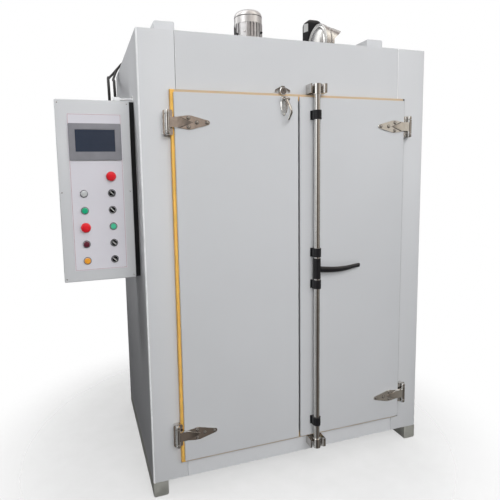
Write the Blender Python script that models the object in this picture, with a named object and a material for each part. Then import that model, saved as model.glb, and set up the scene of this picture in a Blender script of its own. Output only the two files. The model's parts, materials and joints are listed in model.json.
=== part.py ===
"""Two-door curing oven with a side control box, a roof fan and an exhaust blower. Metres, +Z up.

Positions below count from the cabinet's front left corner on the ground: x to the right,
y to the back, z up. The root empty then shifts the whole oven so that the centre of its
footprint is the origin.
"""

from math import cos, pi, radians, sin

import bmesh
import bpy
from mathutils import Matrix, Vector

# Fits
SEAT = 0.0003
RUNNING = 0.0006

# Cabinet
CABINET_WIDTH = 1.320
CABINET_DEPTH = 0.900
BODY_HEIGHT = 1.826
SIDE_THICKNESS = 0.147
BACK_THICKNESS = 0.100
ROOF_THICKNESS = 0.120
FASCIA_HEIGHT = 0.250
SILL_HEIGHT = 0.104
FRAME_DEPTH = 0.100
FOLD_RADIUS = 0.009
PANEL_SEAM = 0.002

# Skids and roof runners
SKID_WIDTH = 0.063
SKID_HEIGHT = 0.065
RUNNER_WIDTH = 0.088
RUNNER_HEIGHT = 0.090
RUNNER_FROM_SIDE = 0.100
RUNNER_FROM_FRONT = 0.185

# Doors and their seal
DOOR_OVERLAP = 0.016
DOOR_SKIN = 0.012
DOOR_SPLIT = 0.007
DOOR_FOLD = 0.003
PLUG_DEPTH = 0.070
PLUG_CLEARANCE = 0.012
GASKET_THICKNESS = 0.018
GASKET_WIDTH = 0.026
GASKET_FROM_OPENING = 0.002

# Hinges
HINGE_FROM_DOOR_END = 0.115
HINGE_AXIS_FROM_DOOR = 0.027
BARREL_RADIUS = 0.0095
BARREL_HALF_HEIGHT = 0.031
STRAP_HALF_NECK = 0.0225
STRAP_HALF_WAIST = 0.021
STRAP_HALF_WIDEST = 0.0275
STRAP_HALF_TIP = 0.0085
STRAP_WAIST_AT = 0.046
STRAP_WIDEST_AT = 0.083
STRAP_RIB_TIP_AT = 0.094
STRAP_TIP_AT = 0.1595
STRAP_THICKNESS = 0.004
HINGE_PLATE_HEIGHT = 0.096
HINGE_PLATE_WIDTH = 0.038
HINGE_PLATE_THICKNESS = 0.004
HINGE_PLATE_CORNER = 0.007
HINGE_PLATE_TO_DOOR = 0.005
KNUCKLE_GAP = 0.0005

# Lock rod, its guides and keepers
ROD_FROM_SPLIT = 0.074
ROD_RADIUS = 0.0135
ROD_FROM_DOOR = 0.020
CAM_RADIUS = 0.018
CAM_HEIGHT = 0.042
CAM_FLAT_ANGLE = 30
ROD_CHAMFER = 0.002
GUIDE_HEIGHT = 0.038
GUIDE_WIDTH = 0.045
GUIDE_WALL = 0.004
GUIDE_FLANGE = 0.004
GUIDE_FROM_DOOR_END = 0.075
MID_GUIDE_FROM_HANDLE = 0.070
KEEPER_HEIGHT = 0.038
KEEPER_PLATE = 0.005
KEEPER_CHEEK = 0.005
KEEPER_BLOCK = 0.019
KEEPER_CHEEK_SETBACK = 0.010
KEEPER_BLOCK_CHAMFER = 0.008
KEEPER_DEPTH = 0.060
KEEPER_SIDE_GAP = 0.0095
KEEPER_FROM_GASKET = 0.003
HANDLE_HEIGHT = 0.928
HUB_RADIUS = 0.0165
HUB_GAP = 0.006
HANDLE_LENGTH = 0.215
HANDLE_ROOT = 0.0135
HANDLE_TIP = 0.009
HANDLE_BOW_OUT = 0.014
HANDLE_DROP = 0.005
HANDLE_SAG = 0.004
HANDLE_FLATNESS = 0.602
HANDLE_STEPS = 12
HANDLE_SIDES = 12

# Door latch
LATCH_FROM_SPLIT = 0.070
LATCH_PLATE_WIDTH = 0.034
LATCH_PLATE_HEIGHT = 0.078
LATCH_PLATE_TAPER = 0.030
LATCH_PLATE_TIP = 0.007
LATCH_PLATE_THICKNESS = 0.004
LATCH_FROM_DOOR_TOP = 0.002
LATCH_PIN_OUT = 0.016
LATCH_PIN_RADIUS = 0.003
LATCH_PIN_DROP = 0.012
LATCH_EAR_RADIUS = 0.008
LATCH_EAR_THICKNESS = 0.004
LEVER_OFFSET = 0.0045
LEVER_WIDTH = 0.014
LEVER_TIP_WIDTH = 0.011
LEVER_THICKNESS = 0.0035
LEVER_LENGTH = 0.087
LEVER_BOW = 0.0165
LEVER_SWEEP = 0.012
LEVER_BOSS_RADIUS = 0.0075
STRIKE_LEFT_WING = 0.028
STRIKE_RIGHT_WING = 0.041
STRIKE_APEX_AT = 0.0044
STRIKE_BAND = 0.0085
STRIKE_WING_RISE = 0.005
STRIKE_RISE = 0.031
STRIKE_THICKNESS = 0.006
STRIKE_NECK_WIDTH = 0.016
STRIKE_RING_RADIUS = 0.0155
STRIKE_RING_THICKNESS = 0.010
STRIKE_HOLE_RADIUS = 0.006
STRIKE_RING_RISE = 0.006

# Control box
BOX_WIDTH = 0.285
BOX_HEIGHT = 0.726
BOX_DEPTH = 0.200
BOX_BOTTOM = 0.917
BOX_FROM_FRONT = 0.139
BOX_FOLD = 0.004
SPACER_WIDTH = 0.018
SPACER_RECESS = 0.004
PLATE_WIDTH = 0.207
PLATE_HEIGHT = 0.627
PLATE_BOTTOM = 0.045
PLATE_FROM_RIGHT = 0.035
PLATE_THICKNESS = 0.002
BEZEL_WIDTH = 0.202
BEZEL_HEIGHT = 0.145
BEZEL_THICKNESS = 0.006
BEZEL_FROM_PLATE_TOP = 0.038
SCREEN_WIDTH = 0.153
SCREEN_HEIGHT = 0.087
SCREEN_RECESS = 0.002
SCREEN_OFFSET_UP = 0.005

# Push buttons, selectors and lamps
ROW_PITCH = 0.068
FIRST_ROW_FROM_BEZEL = 0.064
COLUMN_SPACING = 0.108
RING_RADIUS = 0.0150
RING_HEIGHT = 0.004
BUTTON_RADIUS = 0.0115
STEM_DEPTH = 0.010
STEM_END_GAP = 0.002
MUSHROOM_RADIUS = 0.0195
MUSHROOM_HEIGHT = 0.011
BUTTON_TRAVEL = 0.004
BUTTON_STAND = 0.006
LAMP_RISE = 0.009
KNOB_HEIGHT = 0.017
KNOB_BAR_WIDTH = 0.008
KNOB_REST_ANGLE = -45

# Cables
CABLE_DIAMETER = 0.012
CABLE_POINTS = 34
GLAND_RADIUS = 0.011
GLAND_HEIGHT = 0.016
GLAND_BLOCK = 0.004

# Fan motor on the roof
FAN_FROM_MIDDLE = -0.020
FAN_Y = 0.510
FAN_FLANGE_RADIUS = 0.095
FAN_FLANGE_THICKNESS = 0.012
FAN_BODY_RADIUS = 0.073
FAN_CORE_RADIUS = 0.062
FAN_BODY_HEIGHT = 0.195
FAN_FIRST_PAD = -126
FAN_PAD_HALF_ANGLE = 18
FAN_SLOTS = 4
FAN_SLOT_HALF_ANGLE = 3
FAN_COWL_RADIUS = 0.071
FAN_COWL_HEIGHT = 0.066
FAN_COWL_CORNER = 0.028
FAN_COWL_DOME = 0.003
FAN_COWL_GROOVE = 0.0012
WIRING_PAD_WIDTH = 0.038
WIRING_PAD_RISE = 0.008
WIRING_PAD_MARGIN = 0.004

# Exhaust blower on the roof
BLOWER_FROM_RUNNER = 0.165
BLOWER_Y = 0.375
BLOWER_AXIS_HEIGHT = 0.1012
DRUM_RADIUS = 0.101
DRUM_LENGTH = 0.035
DRUM_BORE_RADIUS = 0.080
DRUM_BACK_WALL = 0.006
DRUM_STEP = 0.0025
DRUM_CRADLE_WIDTH = 0.120
BLOWER_MOTOR_OFFSET = 0.0024
BLOWER_MOTOR_WIDTH = 0.076
BLOWER_MOTOR_DEPTH = 0.066
BLOWER_MOTOR_HEIGHT = 0.266
BLOWER_MOTOR_CORNER = 0.026
BLOWER_MOTOR_GAP = 0.004
DUCT_RADIUS = 0.088
DUCT_WALL = 0.002
DUCT_COLLAR_LENGTH = 0.012
DUCT_COLLAR_RISE = 0.0015
DUCT_LENGTH = 0.160
DUCT_TILT = 14
DUCT_BEND_LENGTH = 0.022
DUCT_MOUTH_ANGLE = 50

# Places worked out from the sizes above
BODY_BOTTOM = SKID_HEIGHT + SEAT
BODY_TOP = BODY_BOTTOM + BODY_HEIGHT
INNER_LEFT = SIDE_THICKNESS
INNER_RIGHT = CABINET_WIDTH - SIDE_THICKNESS
OPENING_BOTTOM = BODY_BOTTOM + SILL_HEIGHT
OPENING_TOP = BODY_TOP - FASCIA_HEIGHT
MIDDLE_X = CABINET_WIDTH / 2
FAN_X = MIDDLE_X + FAN_FROM_MIDDLE
RIGHT_RUNNER_X = CABINET_WIDTH - RUNNER_FROM_SIDE - RUNNER_WIDTH
BLOWER_X = RIGHT_RUNNER_X - BLOWER_FROM_RUNNER
DOOR_BOTTOM = OPENING_BOTTOM - DOOR_OVERLAP
DOOR_TOP = OPENING_TOP + DOOR_OVERLAP
DOOR_BACK_Y = -GASKET_THICKNESS - 2 * SEAT
DOOR_FACE_Y = DOOR_BACK_Y - DOOR_SKIN
DOOR_OUTER_LEFT = INNER_LEFT - DOOR_OVERLAP
HINGE_X = DOOR_OUTER_LEFT - HINGE_AXIS_FROM_DOOR
HINGE_Y = DOOR_FACE_Y - SEAT - STRAP_THICKNESS / 2
GASKET_OUTER = GASKET_WIDTH + GASKET_FROM_OPENING
ROD_X = MIDDLE_X + ROD_FROM_SPLIT
ROD_Y = DOOR_FACE_Y - ROD_FROM_DOOR
BOX_RIGHT = -SPACER_WIDTH - 2 * SEAT
BOX_LEFT = BOX_RIGHT - BOX_WIDTH
BOX_TOP = BOX_BOTTOM + BOX_HEIGHT
PLATE_FACE_Y = BOX_FROM_FRONT - SEAT - PLATE_THICKNESS
PLATE_MIDDLE_X = BOX_RIGHT - PLATE_FROM_RIGHT - PLATE_WIDTH / 2
PLATE_TOP = BOX_BOTTOM + PLATE_BOTTOM + PLATE_HEIGHT
BEZEL_BOTTOM = PLATE_TOP - BEZEL_FROM_PLATE_TOP - BEZEL_HEIGHT
FIRST_ROW = BEZEL_BOTTOM - FIRST_ROW_FROM_BEZEL

# The controls of each column, from the top row down
LEFT_COLUMN = (None, "clear_lamp", "green_lamp", "stop_button", "maroon_lamp", "amber_lamp")
RIGHT_COLUMN = (
    "emergency_stop_button", "selector_1", "selector_2", "start_button", "selector_3", "selector_4",
)
PUSH_BUTTONS = {
    "emergency_stop_button": ("red_plastic", True),
    "stop_button": ("red_plastic", True),
    "start_button": ("green_plastic", False),
}

FRAMES = {}
MATERIALS = {}


def clear_scene():
    for obj in list(bpy.data.objects):
        bpy.data.objects.remove(obj, do_unlink=True)


def material(name, colour, roughness, metallic):
    made = bpy.data.materials.new(name)
    made.use_nodes = True
    shader = made.node_tree.nodes["Principled BSDF"]
    shader.inputs["Base Color"].default_value = (*colour, 1.0)
    shader.inputs["Roughness"].default_value = roughness
    shader.inputs["Metallic"].default_value = metallic
    made.diffuse_color = (*colour, 1.0)
    MATERIALS[name] = made


def make_materials():
    material("light_grey_paint", (0.62, 0.63, 0.64), 0.42, 0.0)
    material("dark_grey_paint", (0.10, 0.10, 0.09), 0.60, 0.0)
    material("yellow_silicone", (0.80, 0.44, 0.06), 0.55, 0.0)
    material("chrome", (0.82, 0.82, 0.83), 0.12, 1.0)
    material("black_paint", (0.015, 0.016, 0.018), 0.40, 0.0)
    material("aluminium_plate", (0.62, 0.62, 0.66), 0.35, 0.8)
    material("cast_aluminium", (0.66, 0.66, 0.67), 0.32, 0.9)
    material("galvanised_steel", (0.62, 0.62, 0.62), 0.28, 0.9)
    material("grey_plastic", (0.16, 0.16, 0.17), 0.50, 0.0)
    material("dark_screen", (0.025, 0.035, 0.065), 0.15, 0.0)
    material("red_plastic", (0.62, 0.03, 0.03), 0.35, 0.0)
    material("green_plastic", (0.02, 0.36, 0.20), 0.35, 0.0)
    material("black_plastic", (0.02, 0.02, 0.022), 0.40, 0.0)
    material("black_cable", (0.012, 0.012, 0.013), 0.55, 0.0)


def empty(name, place, parent=None):
    """An empty at a place of the cabinet, for the objects that move or shift with it."""
    made = bpy.data.objects.new(name, None)
    bpy.context.scene.collection.objects.link(made)
    made.empty_display_size = 0.05
    place = Vector(place)
    made.location = place - FRAMES[parent] if parent else place
    made.parent = bpy.data.objects[parent] if parent else None
    FRAMES[name] = place
    return made


def add_object(name, mesh, place, parent, material_name):
    """Shifts a mesh drawn in cabinet coordinates to its own origin, and links it."""
    place = Vector(place)
    mesh.transform(Matrix.Translation(-place))
    made = bpy.data.objects.new(name, mesh)
    bpy.context.scene.collection.objects.link(made)
    made.location = place - FRAMES[parent]
    made.parent = bpy.data.objects[parent]
    if material_name:
        mesh.materials.append(MATERIALS[material_name])
    return made


def mesh_from(bm, name, smooth_under=40):
    bmesh.ops.recalc_face_normals(bm, faces=bm.faces)
    for edge in bm.edges:
        edge.smooth = len(edge.link_faces) == 2 and edge.calc_face_angle(pi) < radians(smooth_under)
    for face in bm.faces:
        face.smooth = True
    mesh = bpy.data.meshes.new(name)
    bm.to_mesh(mesh)
    bm.free()
    return mesh


def bevel_edges(bm, edges, width, segments):
    bmesh.ops.bevel(
        bm, geom=edges, offset=width, offset_type="OFFSET", segments=segments,
        profile=0.5, affect="EDGES", clamp_overlap=True,
    )


def box_mesh(low, high):
    bm = bmesh.new()
    bmesh.ops.create_cube(bm, size=1)
    low, high = Vector(low), Vector(high)
    bmesh.ops.scale(bm, vec=high - low, verts=bm.verts)
    bmesh.ops.translate(bm, vec=(low + high) / 2, verts=bm.verts)
    return bm


def runs_along(edge, axis):
    direction = (edge.verts[1].co - edge.verts[0].co).normalized()
    return abs(direction[axis]) > 0.99


def prism_mesh(outline, axis, start, end):
    """A closed outline of (u, v) points, extruded along an axis: u and v are the other two in order."""
    bm = bmesh.new()
    others = [i for i in range(3) if i != axis]

    def ring_at(height):
        ring = []
        for point in outline:
            place = [0.0, 0.0, 0.0]
            place[axis] = height
            place[others[0]] = point[0]
            place[others[1]] = point[1]
            ring.append(bm.verts.new(place))
        return ring

    lower, upper = ring_at(start), ring_at(end)
    bm.faces.new(lower)
    bm.faces.new(list(reversed(upper)))
    for i in range(len(outline)):
        j = (i + 1) % len(outline)
        bm.faces.new((lower[i], lower[j], upper[j], upper[i]))
    return bm


def rounded_rectangle(low, high, radius, segments=4):
    """Outline points, counter-clockwise, of a rectangle with round corners."""
    corners = [
        (high[0] - radius, high[1] - radius, 0),
        (low[0] + radius, high[1] - radius, 90),
        (low[0] + radius, low[1] + radius, 180),
        (high[0] - radius, low[1] + radius, 270),
    ]
    points = []
    for x, y, start in corners:
        for step in range(segments + 1):
            angle = radians(start + 90 * step / segments)
            points.append((x + radius * cos(angle), y + radius * sin(angle)))
    return points


def arc(centre, radius, start, end, segments):
    points = []
    for step in range(segments + 1):
        angle = radians(start + (end - start) * step / segments)
        points.append((centre[0] + radius * cos(angle), centre[1] + radius * sin(angle)))
    return points


def revolved_mesh(profile, place, axis=(0, 0, 1), segments=32):
    """Turns (radius, height) points about an axis through a place. Ends at radius 0 close it."""
    bm = bmesh.new()
    rings = []
    for radius, height in profile:
        if radius < 1e-6:
            rings.append([bm.verts.new((0, 0, height))])
            continue
        ring = []
        for i in range(segments):
            angle = 2 * pi * i / segments
            ring.append(bm.verts.new((radius * cos(angle), radius * sin(angle), height)))
        rings.append(ring)
    for first, second in zip(rings, rings[1:]):
        for i in range(segments):
            j = (i + 1) % segments
            if len(first) == 1:
                bm.faces.new((first[0], second[j], second[i]))
            elif len(second) == 1:
                bm.faces.new((first[i], first[j], second[0]))
            else:
                bm.faces.new((first[i], first[j], second[j], second[i]))
    if len(rings[0]) > 1 and len(rings[-1]) > 1:
        for i in range(segments):
            j = (i + 1) % segments
            bm.faces.new((rings[-1][i], rings[-1][j], rings[0][j], rings[0][i]))
    turn = Vector((0, 0, 1)).rotation_difference(Vector(axis)).to_matrix().to_4x4()
    bmesh.ops.transform(bm, matrix=Matrix.Translation(place) @ turn, verts=bm.verts)
    return bm


def cylinder_mesh(radius, start, end, place, axis=(0, 0, 1), segments=32):
    profile = [(0, start), (radius, start), (radius, end), (0, end)]
    return revolved_mesh(profile, place, axis, segments)


def boolean(target, tool, operation):
    """Joins or cuts with a hidden helper, which keeps its wire display."""
    modifier = target.modifiers.new(f"{operation.lower()}_{tool.name}", "BOOLEAN")
    modifier.operation = operation
    modifier.solver = "EXACT"
    modifier.object = tool
    tool.hide_render = True
    tool.display_type = "WIRE"


def helper(name, bm, target_parent):
    return add_object(name, mesh_from(bm, name), FRAMES[target_parent], target_parent, None)


def union(target, name, bm, parent):
    boolean(target, helper(name, bm, parent), "UNION")


def cut(target, name, bm, parent):
    boolean(target, helper(name, bm, parent), "DIFFERENCE")


def solid(name, bm, place, material_name, parent="curing_oven"):
    return add_object(name, mesh_from(bm, name), place, parent, material_name)


def mirrored(x):
    """The matching place on the other side of the cabinet's middle."""
    return CABINET_WIDTH - x


def side_panel(name, outer, inner):
    """A wall whose sheet is folded round the front corner into the stile."""
    low_x, high_x = sorted((outer, inner))
    bm = box_mesh((low_x, 0, BODY_BOTTOM), (high_x, CABINET_DEPTH, BODY_TOP))
    front = [
        e for e in bm.edges
        if runs_along(e, 2) and e.verts[0].co.y < 1e-6 and abs(e.verts[0].co.x - outer) < 1e-6
    ]
    bevel_edges(bm, front, FOLD_RADIUS, 4)
    seam = [
        e for e in bm.edges
        if runs_along(e, 2) and e.verts[0].co.y < 1e-6 and abs(e.verts[0].co.x - inner) < 1e-6
    ]
    bevel_edges(bm, seam, PANEL_SEAM, 1)
    solid(name, bm, (outer, 0, BODY_BOTTOM), "light_grey_paint")


def between_sides(name, y_range, z_range, seams=False):
    low = (INNER_LEFT + SEAT, y_range[0], z_range[0])
    high = (INNER_RIGHT - SEAT, y_range[1], z_range[1])
    bm = box_mesh(low, high)
    if seams:
        front = [e for e in bm.edges if runs_along(e, 2) and e.verts[0].co.y < y_range[0] + 1e-6]
        bevel_edges(bm, front, PANEL_SEAM, 1)
    solid(name, bm, low, "light_grey_paint")


def make_shell():
    side_panel("left_side_panel", 0, INNER_LEFT)
    side_panel("right_side_panel", CABINET_WIDTH, INNER_RIGHT)
    between_sides("top_fascia", (0, FRAME_DEPTH), (OPENING_TOP, BODY_TOP), seams=True)
    between_sides("bottom_sill", (0, FRAME_DEPTH), (BODY_BOTTOM, OPENING_BOTTOM), seams=True)
    back_front_y = CABINET_DEPTH - BACK_THICKNESS
    between_sides("back_panel", (back_front_y, CABINET_DEPTH), (BODY_BOTTOM, BODY_TOP))
    deck = (FRAME_DEPTH + SEAT, back_front_y - SEAT)
    between_sides("roof_panel", deck, (BODY_TOP - ROOF_THICKNESS, BODY_TOP))
    between_sides("floor_panel", deck, (BODY_BOTTOM, OPENING_BOTTOM))


def make_skids():
    for side, low_x in (("left", 0), ("right", CABINET_WIDTH - SKID_WIDTH)):
        bm = box_mesh((low_x, 0, 0), (low_x + SKID_WIDTH, CABINET_DEPTH, SKID_HEIGHT))
        lower = [e for e in bm.edges if runs_along(e, 1) and e.verts[0].co.z < 1e-6]
        bevel_edges(bm, lower, 0.008, 3)
        solid(f"{side}_skid", bm, (low_x, 0, 0), "dark_grey_paint")


def make_roof_runners():
    """Square bars with rounded long edges, seated on the roof."""
    end_y = CABINET_DEPTH - RUNNER_FROM_FRONT
    low_z = BODY_TOP + SEAT
    for side, low_x in (("left", RUNNER_FROM_SIDE), ("right", RIGHT_RUNNER_X)):
        bm = box_mesh(
            (low_x, RUNNER_FROM_FRONT, low_z),
            (low_x + RUNNER_WIDTH, end_y, low_z + RUNNER_HEIGHT),
        )
        edges = [e for e in bm.edges if runs_along(e, 1)]
        bevel_edges(bm, edges, 0.006, 3)
        solid(f"{side}_roof_runner", bm, (low_x, RUNNER_FROM_FRONT, low_z), "light_grey_paint")


def make_gasket():
    """A rounded silicone bead all round the door opening."""
    outer = (
        (INNER_LEFT - GASKET_OUTER, OPENING_BOTTOM - GASKET_OUTER),
        (INNER_RIGHT + GASKET_OUTER, OPENING_TOP + GASKET_OUTER),
    )
    inner = (
        (INNER_LEFT - GASKET_FROM_OPENING, OPENING_BOTTOM - GASKET_FROM_OPENING),
        (INNER_RIGHT + GASKET_FROM_OPENING, OPENING_TOP + GASKET_FROM_OPENING),
    )
    back_y, front_y = -SEAT, -SEAT - GASKET_THICKNESS
    bm = bmesh.new()
    rings = []
    for (low, high), y in ((outer, back_y), (outer, front_y), (inner, front_y), (inner, back_y)):
        corners = ((low[0], low[1]), (high[0], low[1]), (high[0], high[1]), (low[0], high[1]))
        rings.append([bm.verts.new((x, y, z)) for x, z in corners])
    for first, second in zip(rings, rings[1:] + rings[:1]):
        for i in range(4):
            j = (i + 1) % 4
            bm.faces.new((first[i], first[j], second[j], second[i]))
    front = [e for e in bm.edges if all(abs(v.co.y - front_y) < 1e-6 for v in e.verts)]
    outer_front = [e for e in front if not any(on_inner(v.co, inner) for v in e.verts)]
    bevel_edges(bm, outer_front, 0.006, 3)
    solid("door_gasket", bm, (INNER_LEFT, 0, OPENING_BOTTOM), "yellow_silicone")


def on_inner(point, inner):
    (low_x, low_z), (high_x, high_z) = inner
    inside_x = low_x - 1e-6 < point.x < high_x + 1e-6
    inside_z = low_z - 1e-6 < point.z < high_z + 1e-6
    return inside_x and inside_z


def door_mesh(outer, free):
    """A folded skin that overlaps the frame, with an insulated plug behind it."""
    low_x, high_x = sorted((outer, free))
    skin = box_mesh((low_x, DOOR_FACE_Y, DOOR_BOTTOM), (high_x, DOOR_BACK_Y, DOOR_TOP))
    front = [e for e in skin.edges if all(v.co.y < DOOR_FACE_Y + 1e-6 for v in e.verts)]
    bevel_edges(skin, front, DOOR_FOLD, 3)
    return skin


def plug_mesh(outer, free):
    inward = 1 if free > outer else -1
    hinge_side = outer + inward * (DOOR_OVERLAP + PLUG_CLEARANCE)
    free_side = free - inward * PLUG_CLEARANCE
    low_x, high_x = sorted((hinge_side, free_side))
    low = (low_x, DOOR_BACK_Y - DOOR_SKIN / 2, OPENING_BOTTOM + PLUG_CLEARANCE)
    high = (high_x, DOOR_BACK_Y + PLUG_DEPTH, OPENING_TOP - PLUG_CLEARANCE)
    return box_mesh(low, high)


def make_door(side, outer, free):
    axis_x = HINGE_X if side == "left" else mirrored(HINGE_X)
    frame = f"{side}_door_axis"
    empty(frame, (axis_x, HINGE_Y, 0), "curing_oven")
    place = (axis_x, HINGE_Y, DOOR_BOTTOM)
    door = solid(f"{side}_door", door_mesh(outer, free), place, "light_grey_paint", frame)
    union(door, f"{side}_door_plug", plug_mesh(outer, free), frame)


def make_doors():
    make_door("left", DOOR_OUTER_LEFT, MIDDLE_X - DOOR_SPLIT / 2)
    make_door("right", mirrored(DOOR_OUTER_LEFT), MIDDLE_X + DOOR_SPLIT / 2)


def strap_outline(axis_x, inward, height):
    """The diamond plate on the door, from its waist to its round tip, as (x, z) points."""
    upper = [
        (STRAP_WAIST_AT - 0.012, STRAP_HALF_WAIST),
        (STRAP_WAIST_AT, STRAP_HALF_WAIST),
        (STRAP_WIDEST_AT - 0.010, STRAP_HALF_WIDEST - 0.0012),
        (STRAP_WIDEST_AT, STRAP_HALF_WIDEST),
        (STRAP_WIDEST_AT + 0.010, STRAP_HALF_WIDEST - 0.0012),
    ]
    tip = arc((STRAP_TIP_AT, 0), STRAP_HALF_TIP, 80, -80, 8)
    lower = [(x, -z) for x, z in reversed(upper)]
    return [(axis_x + inward * x, height + z) for x, z in upper + tip + lower]


def rib_mesh(axis_x, inward, height):
    """The raised V from the barrel to its tip, falling to the plate's level."""
    barrel_y = HINGE_Y - BARREL_RADIUS * 0.72
    tip_y = DOOR_FACE_Y - SEAT - STRAP_THICKNESS - 0.0012
    back_y = DOOR_FACE_Y - SEAT
    stations = [
        (0.0, STRAP_HALF_NECK, barrel_y),
        (STRAP_WAIST_AT, STRAP_HALF_WAIST, barrel_y),
        (STRAP_RIB_TIP_AT, 0.0, tip_y),
    ]
    bm = bmesh.new()
    slope = 0.0025
    rows = []
    for x, half, front_y in stations[:2]:
        place_x = axis_x + inward * x
        points = (
            (back_y, height - half), (front_y, height - half + slope),
            (front_y, height + half - slope), (back_y, height + half),
        )
        rows.append([bm.verts.new((place_x, y, z)) for y, z in points])
    tip_x = axis_x + inward * STRAP_RIB_TIP_AT
    tip_back = bm.verts.new((tip_x, back_y, height))
    tip_front = bm.verts.new((tip_x, tip_y, height))
    first, second = rows
    bm.faces.new(first)
    for i in range(4):
        j = (i + 1) % 4
        bm.faces.new((first[i], first[j], second[j], second[i]))
    bm.faces.new((second[0], second[1], tip_front, tip_back))
    bm.faces.new((second[1], second[2], tip_front))
    bm.faces.new((second[2], second[3], tip_back, tip_front))
    bm.faces.new((second[3], second[0], tip_back))
    return bm


def make_strap(name, axis_x, inward, height, frame):
    """The moving half: knuckle, raised neck and diamond plate, screwed to the door."""
    back_y = DOOR_FACE_Y - SEAT
    place = (axis_x, HINGE_Y, height)
    bm = cylinder_mesh(BARREL_RADIUS, -STRAP_HALF_NECK, STRAP_HALF_NECK, place)
    strap = solid(name, bm, place, "chrome", frame)
    outline = strap_outline(axis_x, inward, height)
    plate = prism_mesh(outline, 1, back_y - STRAP_THICKNESS, back_y)
    front = [e for e in plate.edges if all(v.co.y < back_y - STRAP_THICKNESS + 1e-6 for v in e.verts)]
    bevel_edges(plate, front, 0.0012, 1)
    union(strap, f"{name}_rib", rib_mesh(axis_x, inward, height), frame)
    union(strap, f"{name}_plate", plate, frame)


def make_hinge_base(name, axis_x, inward, height):
    """The fixed half: a standoff on the stile, a cover plate over the gasket, and two knuckles."""
    plate_front_y = HINGE_Y + BARREL_RADIUS + RUNNING
    plate_back_y = plate_front_y + HINGE_PLATE_THICKNESS
    door_edge_x = axis_x + inward * HINGE_AXIS_FROM_DOOR
    plate_inner = door_edge_x - inward * HINGE_PLATE_TO_DOOR
    plate_outer = plate_inner - inward * HINGE_PLATE_WIDTH
    gasket_edge_x = door_edge_x + inward * (DOOR_OVERLAP - GASKET_OUTER)
    standoff_inner = gasket_edge_x - inward * SEAT
    half = HINGE_PLATE_HEIGHT / 2
    low_x, high_x = sorted((plate_outer, plate_inner))
    outline = rounded_rectangle(
        (low_x, height - half), (high_x, height + half), HINGE_PLATE_CORNER
    )
    plate = prism_mesh(outline, 1, plate_front_y, plate_back_y)
    base = solid(name, plate, (axis_x, 0, height), "chrome")
    low_x, high_x = sorted((plate_outer + inward * 0.002, standoff_inner))
    outline = rounded_rectangle(
        (low_x, height - half + 0.002), (high_x, height + half - 0.002), HINGE_PLATE_CORNER
    )
    standoff = prism_mesh(outline, 1, plate_back_y - HINGE_PLATE_THICKNESS / 2, -SEAT)
    union(base, f"{name}_standoff", standoff, "curing_oven")
    knuckle_start = STRAP_HALF_NECK + KNUCKLE_GAP
    for end, direction in (("upper", 1), ("lower", -1)):
        low, high = sorted((direction * knuckle_start, direction * BARREL_HALF_HEIGHT))
        knuckle = cylinder_mesh(BARREL_RADIUS, low, high, (axis_x, HINGE_Y, height))
        union(base, f"{name}_{end}_knuckle", knuckle, "curing_oven")
        web = box_mesh(
            (axis_x - BARREL_RADIUS * 0.8, HINGE_Y, height + low),
            (axis_x + BARREL_RADIUS * 0.8, plate_front_y + HINGE_PLATE_THICKNESS / 2, height + high),
        )
        union(base, f"{name}_{end}_web", web, "curing_oven")


def make_hinges():
    heights = {
        "top": DOOR_TOP - HINGE_FROM_DOOR_END,
        "bottom": DOOR_BOTTOM + HINGE_FROM_DOOR_END,
    }
    for end, height in heights.items():
        for side, axis_x, inward in (("left", HINGE_X, 1), ("right", mirrored(HINGE_X), -1)):
            make_hinge_base(f"{end}_{side}_hinge_base", axis_x, inward, height)
            make_strap(f"{end}_{side}_hinge_strap", axis_x, inward, height, f"{side}_door_axis")


def guide_outline():
    """A saddle clamp seen from above: flange on the door and a round nose over the rod, as (x, y)."""
    outer = ROD_RADIUS + RUNNING + GUIDE_WALL
    face = DOOR_FACE_Y - SEAT
    flange = face - GUIDE_FLANGE
    half = GUIDE_WIDTH / 2
    nose = arc((ROD_X, ROD_Y), outer, 180, 360, 16)
    left = [(ROD_X - half, face), (ROD_X - half, flange), (ROD_X - outer, flange)]
    right = [(ROD_X + outer, flange), (ROD_X + half, flange), (ROD_X + half, face)]
    return left + nose + right


def make_rod_guides():
    heights = {
        "bottom": DOOR_BOTTOM + GUIDE_FROM_DOOR_END,
        "lower_middle": HANDLE_HEIGHT - MID_GUIDE_FROM_HANDLE,
        "upper_middle": HANDLE_HEIGHT + MID_GUIDE_FROM_HANDLE,
        "top": DOOR_TOP - GUIDE_FROM_DOOR_END,
    }
    for end, height in heights.items():
        name = f"{end}_rod_guide"
        low_z, high_z = height - GUIDE_HEIGHT / 2, height + GUIDE_HEIGHT / 2
        bm = prism_mesh(guide_outline(), 2, low_z, high_z)
        guide = solid(name, bm, (ROD_X, DOOR_FACE_Y, height), "black_paint", "right_door_axis")
        bore = cylinder_mesh(ROD_RADIUS + RUNNING, -GUIDE_HEIGHT, GUIDE_HEIGHT, (ROD_X, ROD_Y, height))
        cut(guide, f"{name}_bore", bore, "right_door_axis")


def keeper_base_heights():
    top = OPENING_TOP + GASKET_OUTER + KEEPER_FROM_GASKET
    bottom = OPENING_BOTTOM - GASKET_OUTER - KEEPER_FROM_GASKET - KEEPER_HEIGHT
    return {"top": top, "bottom": bottom}


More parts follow.
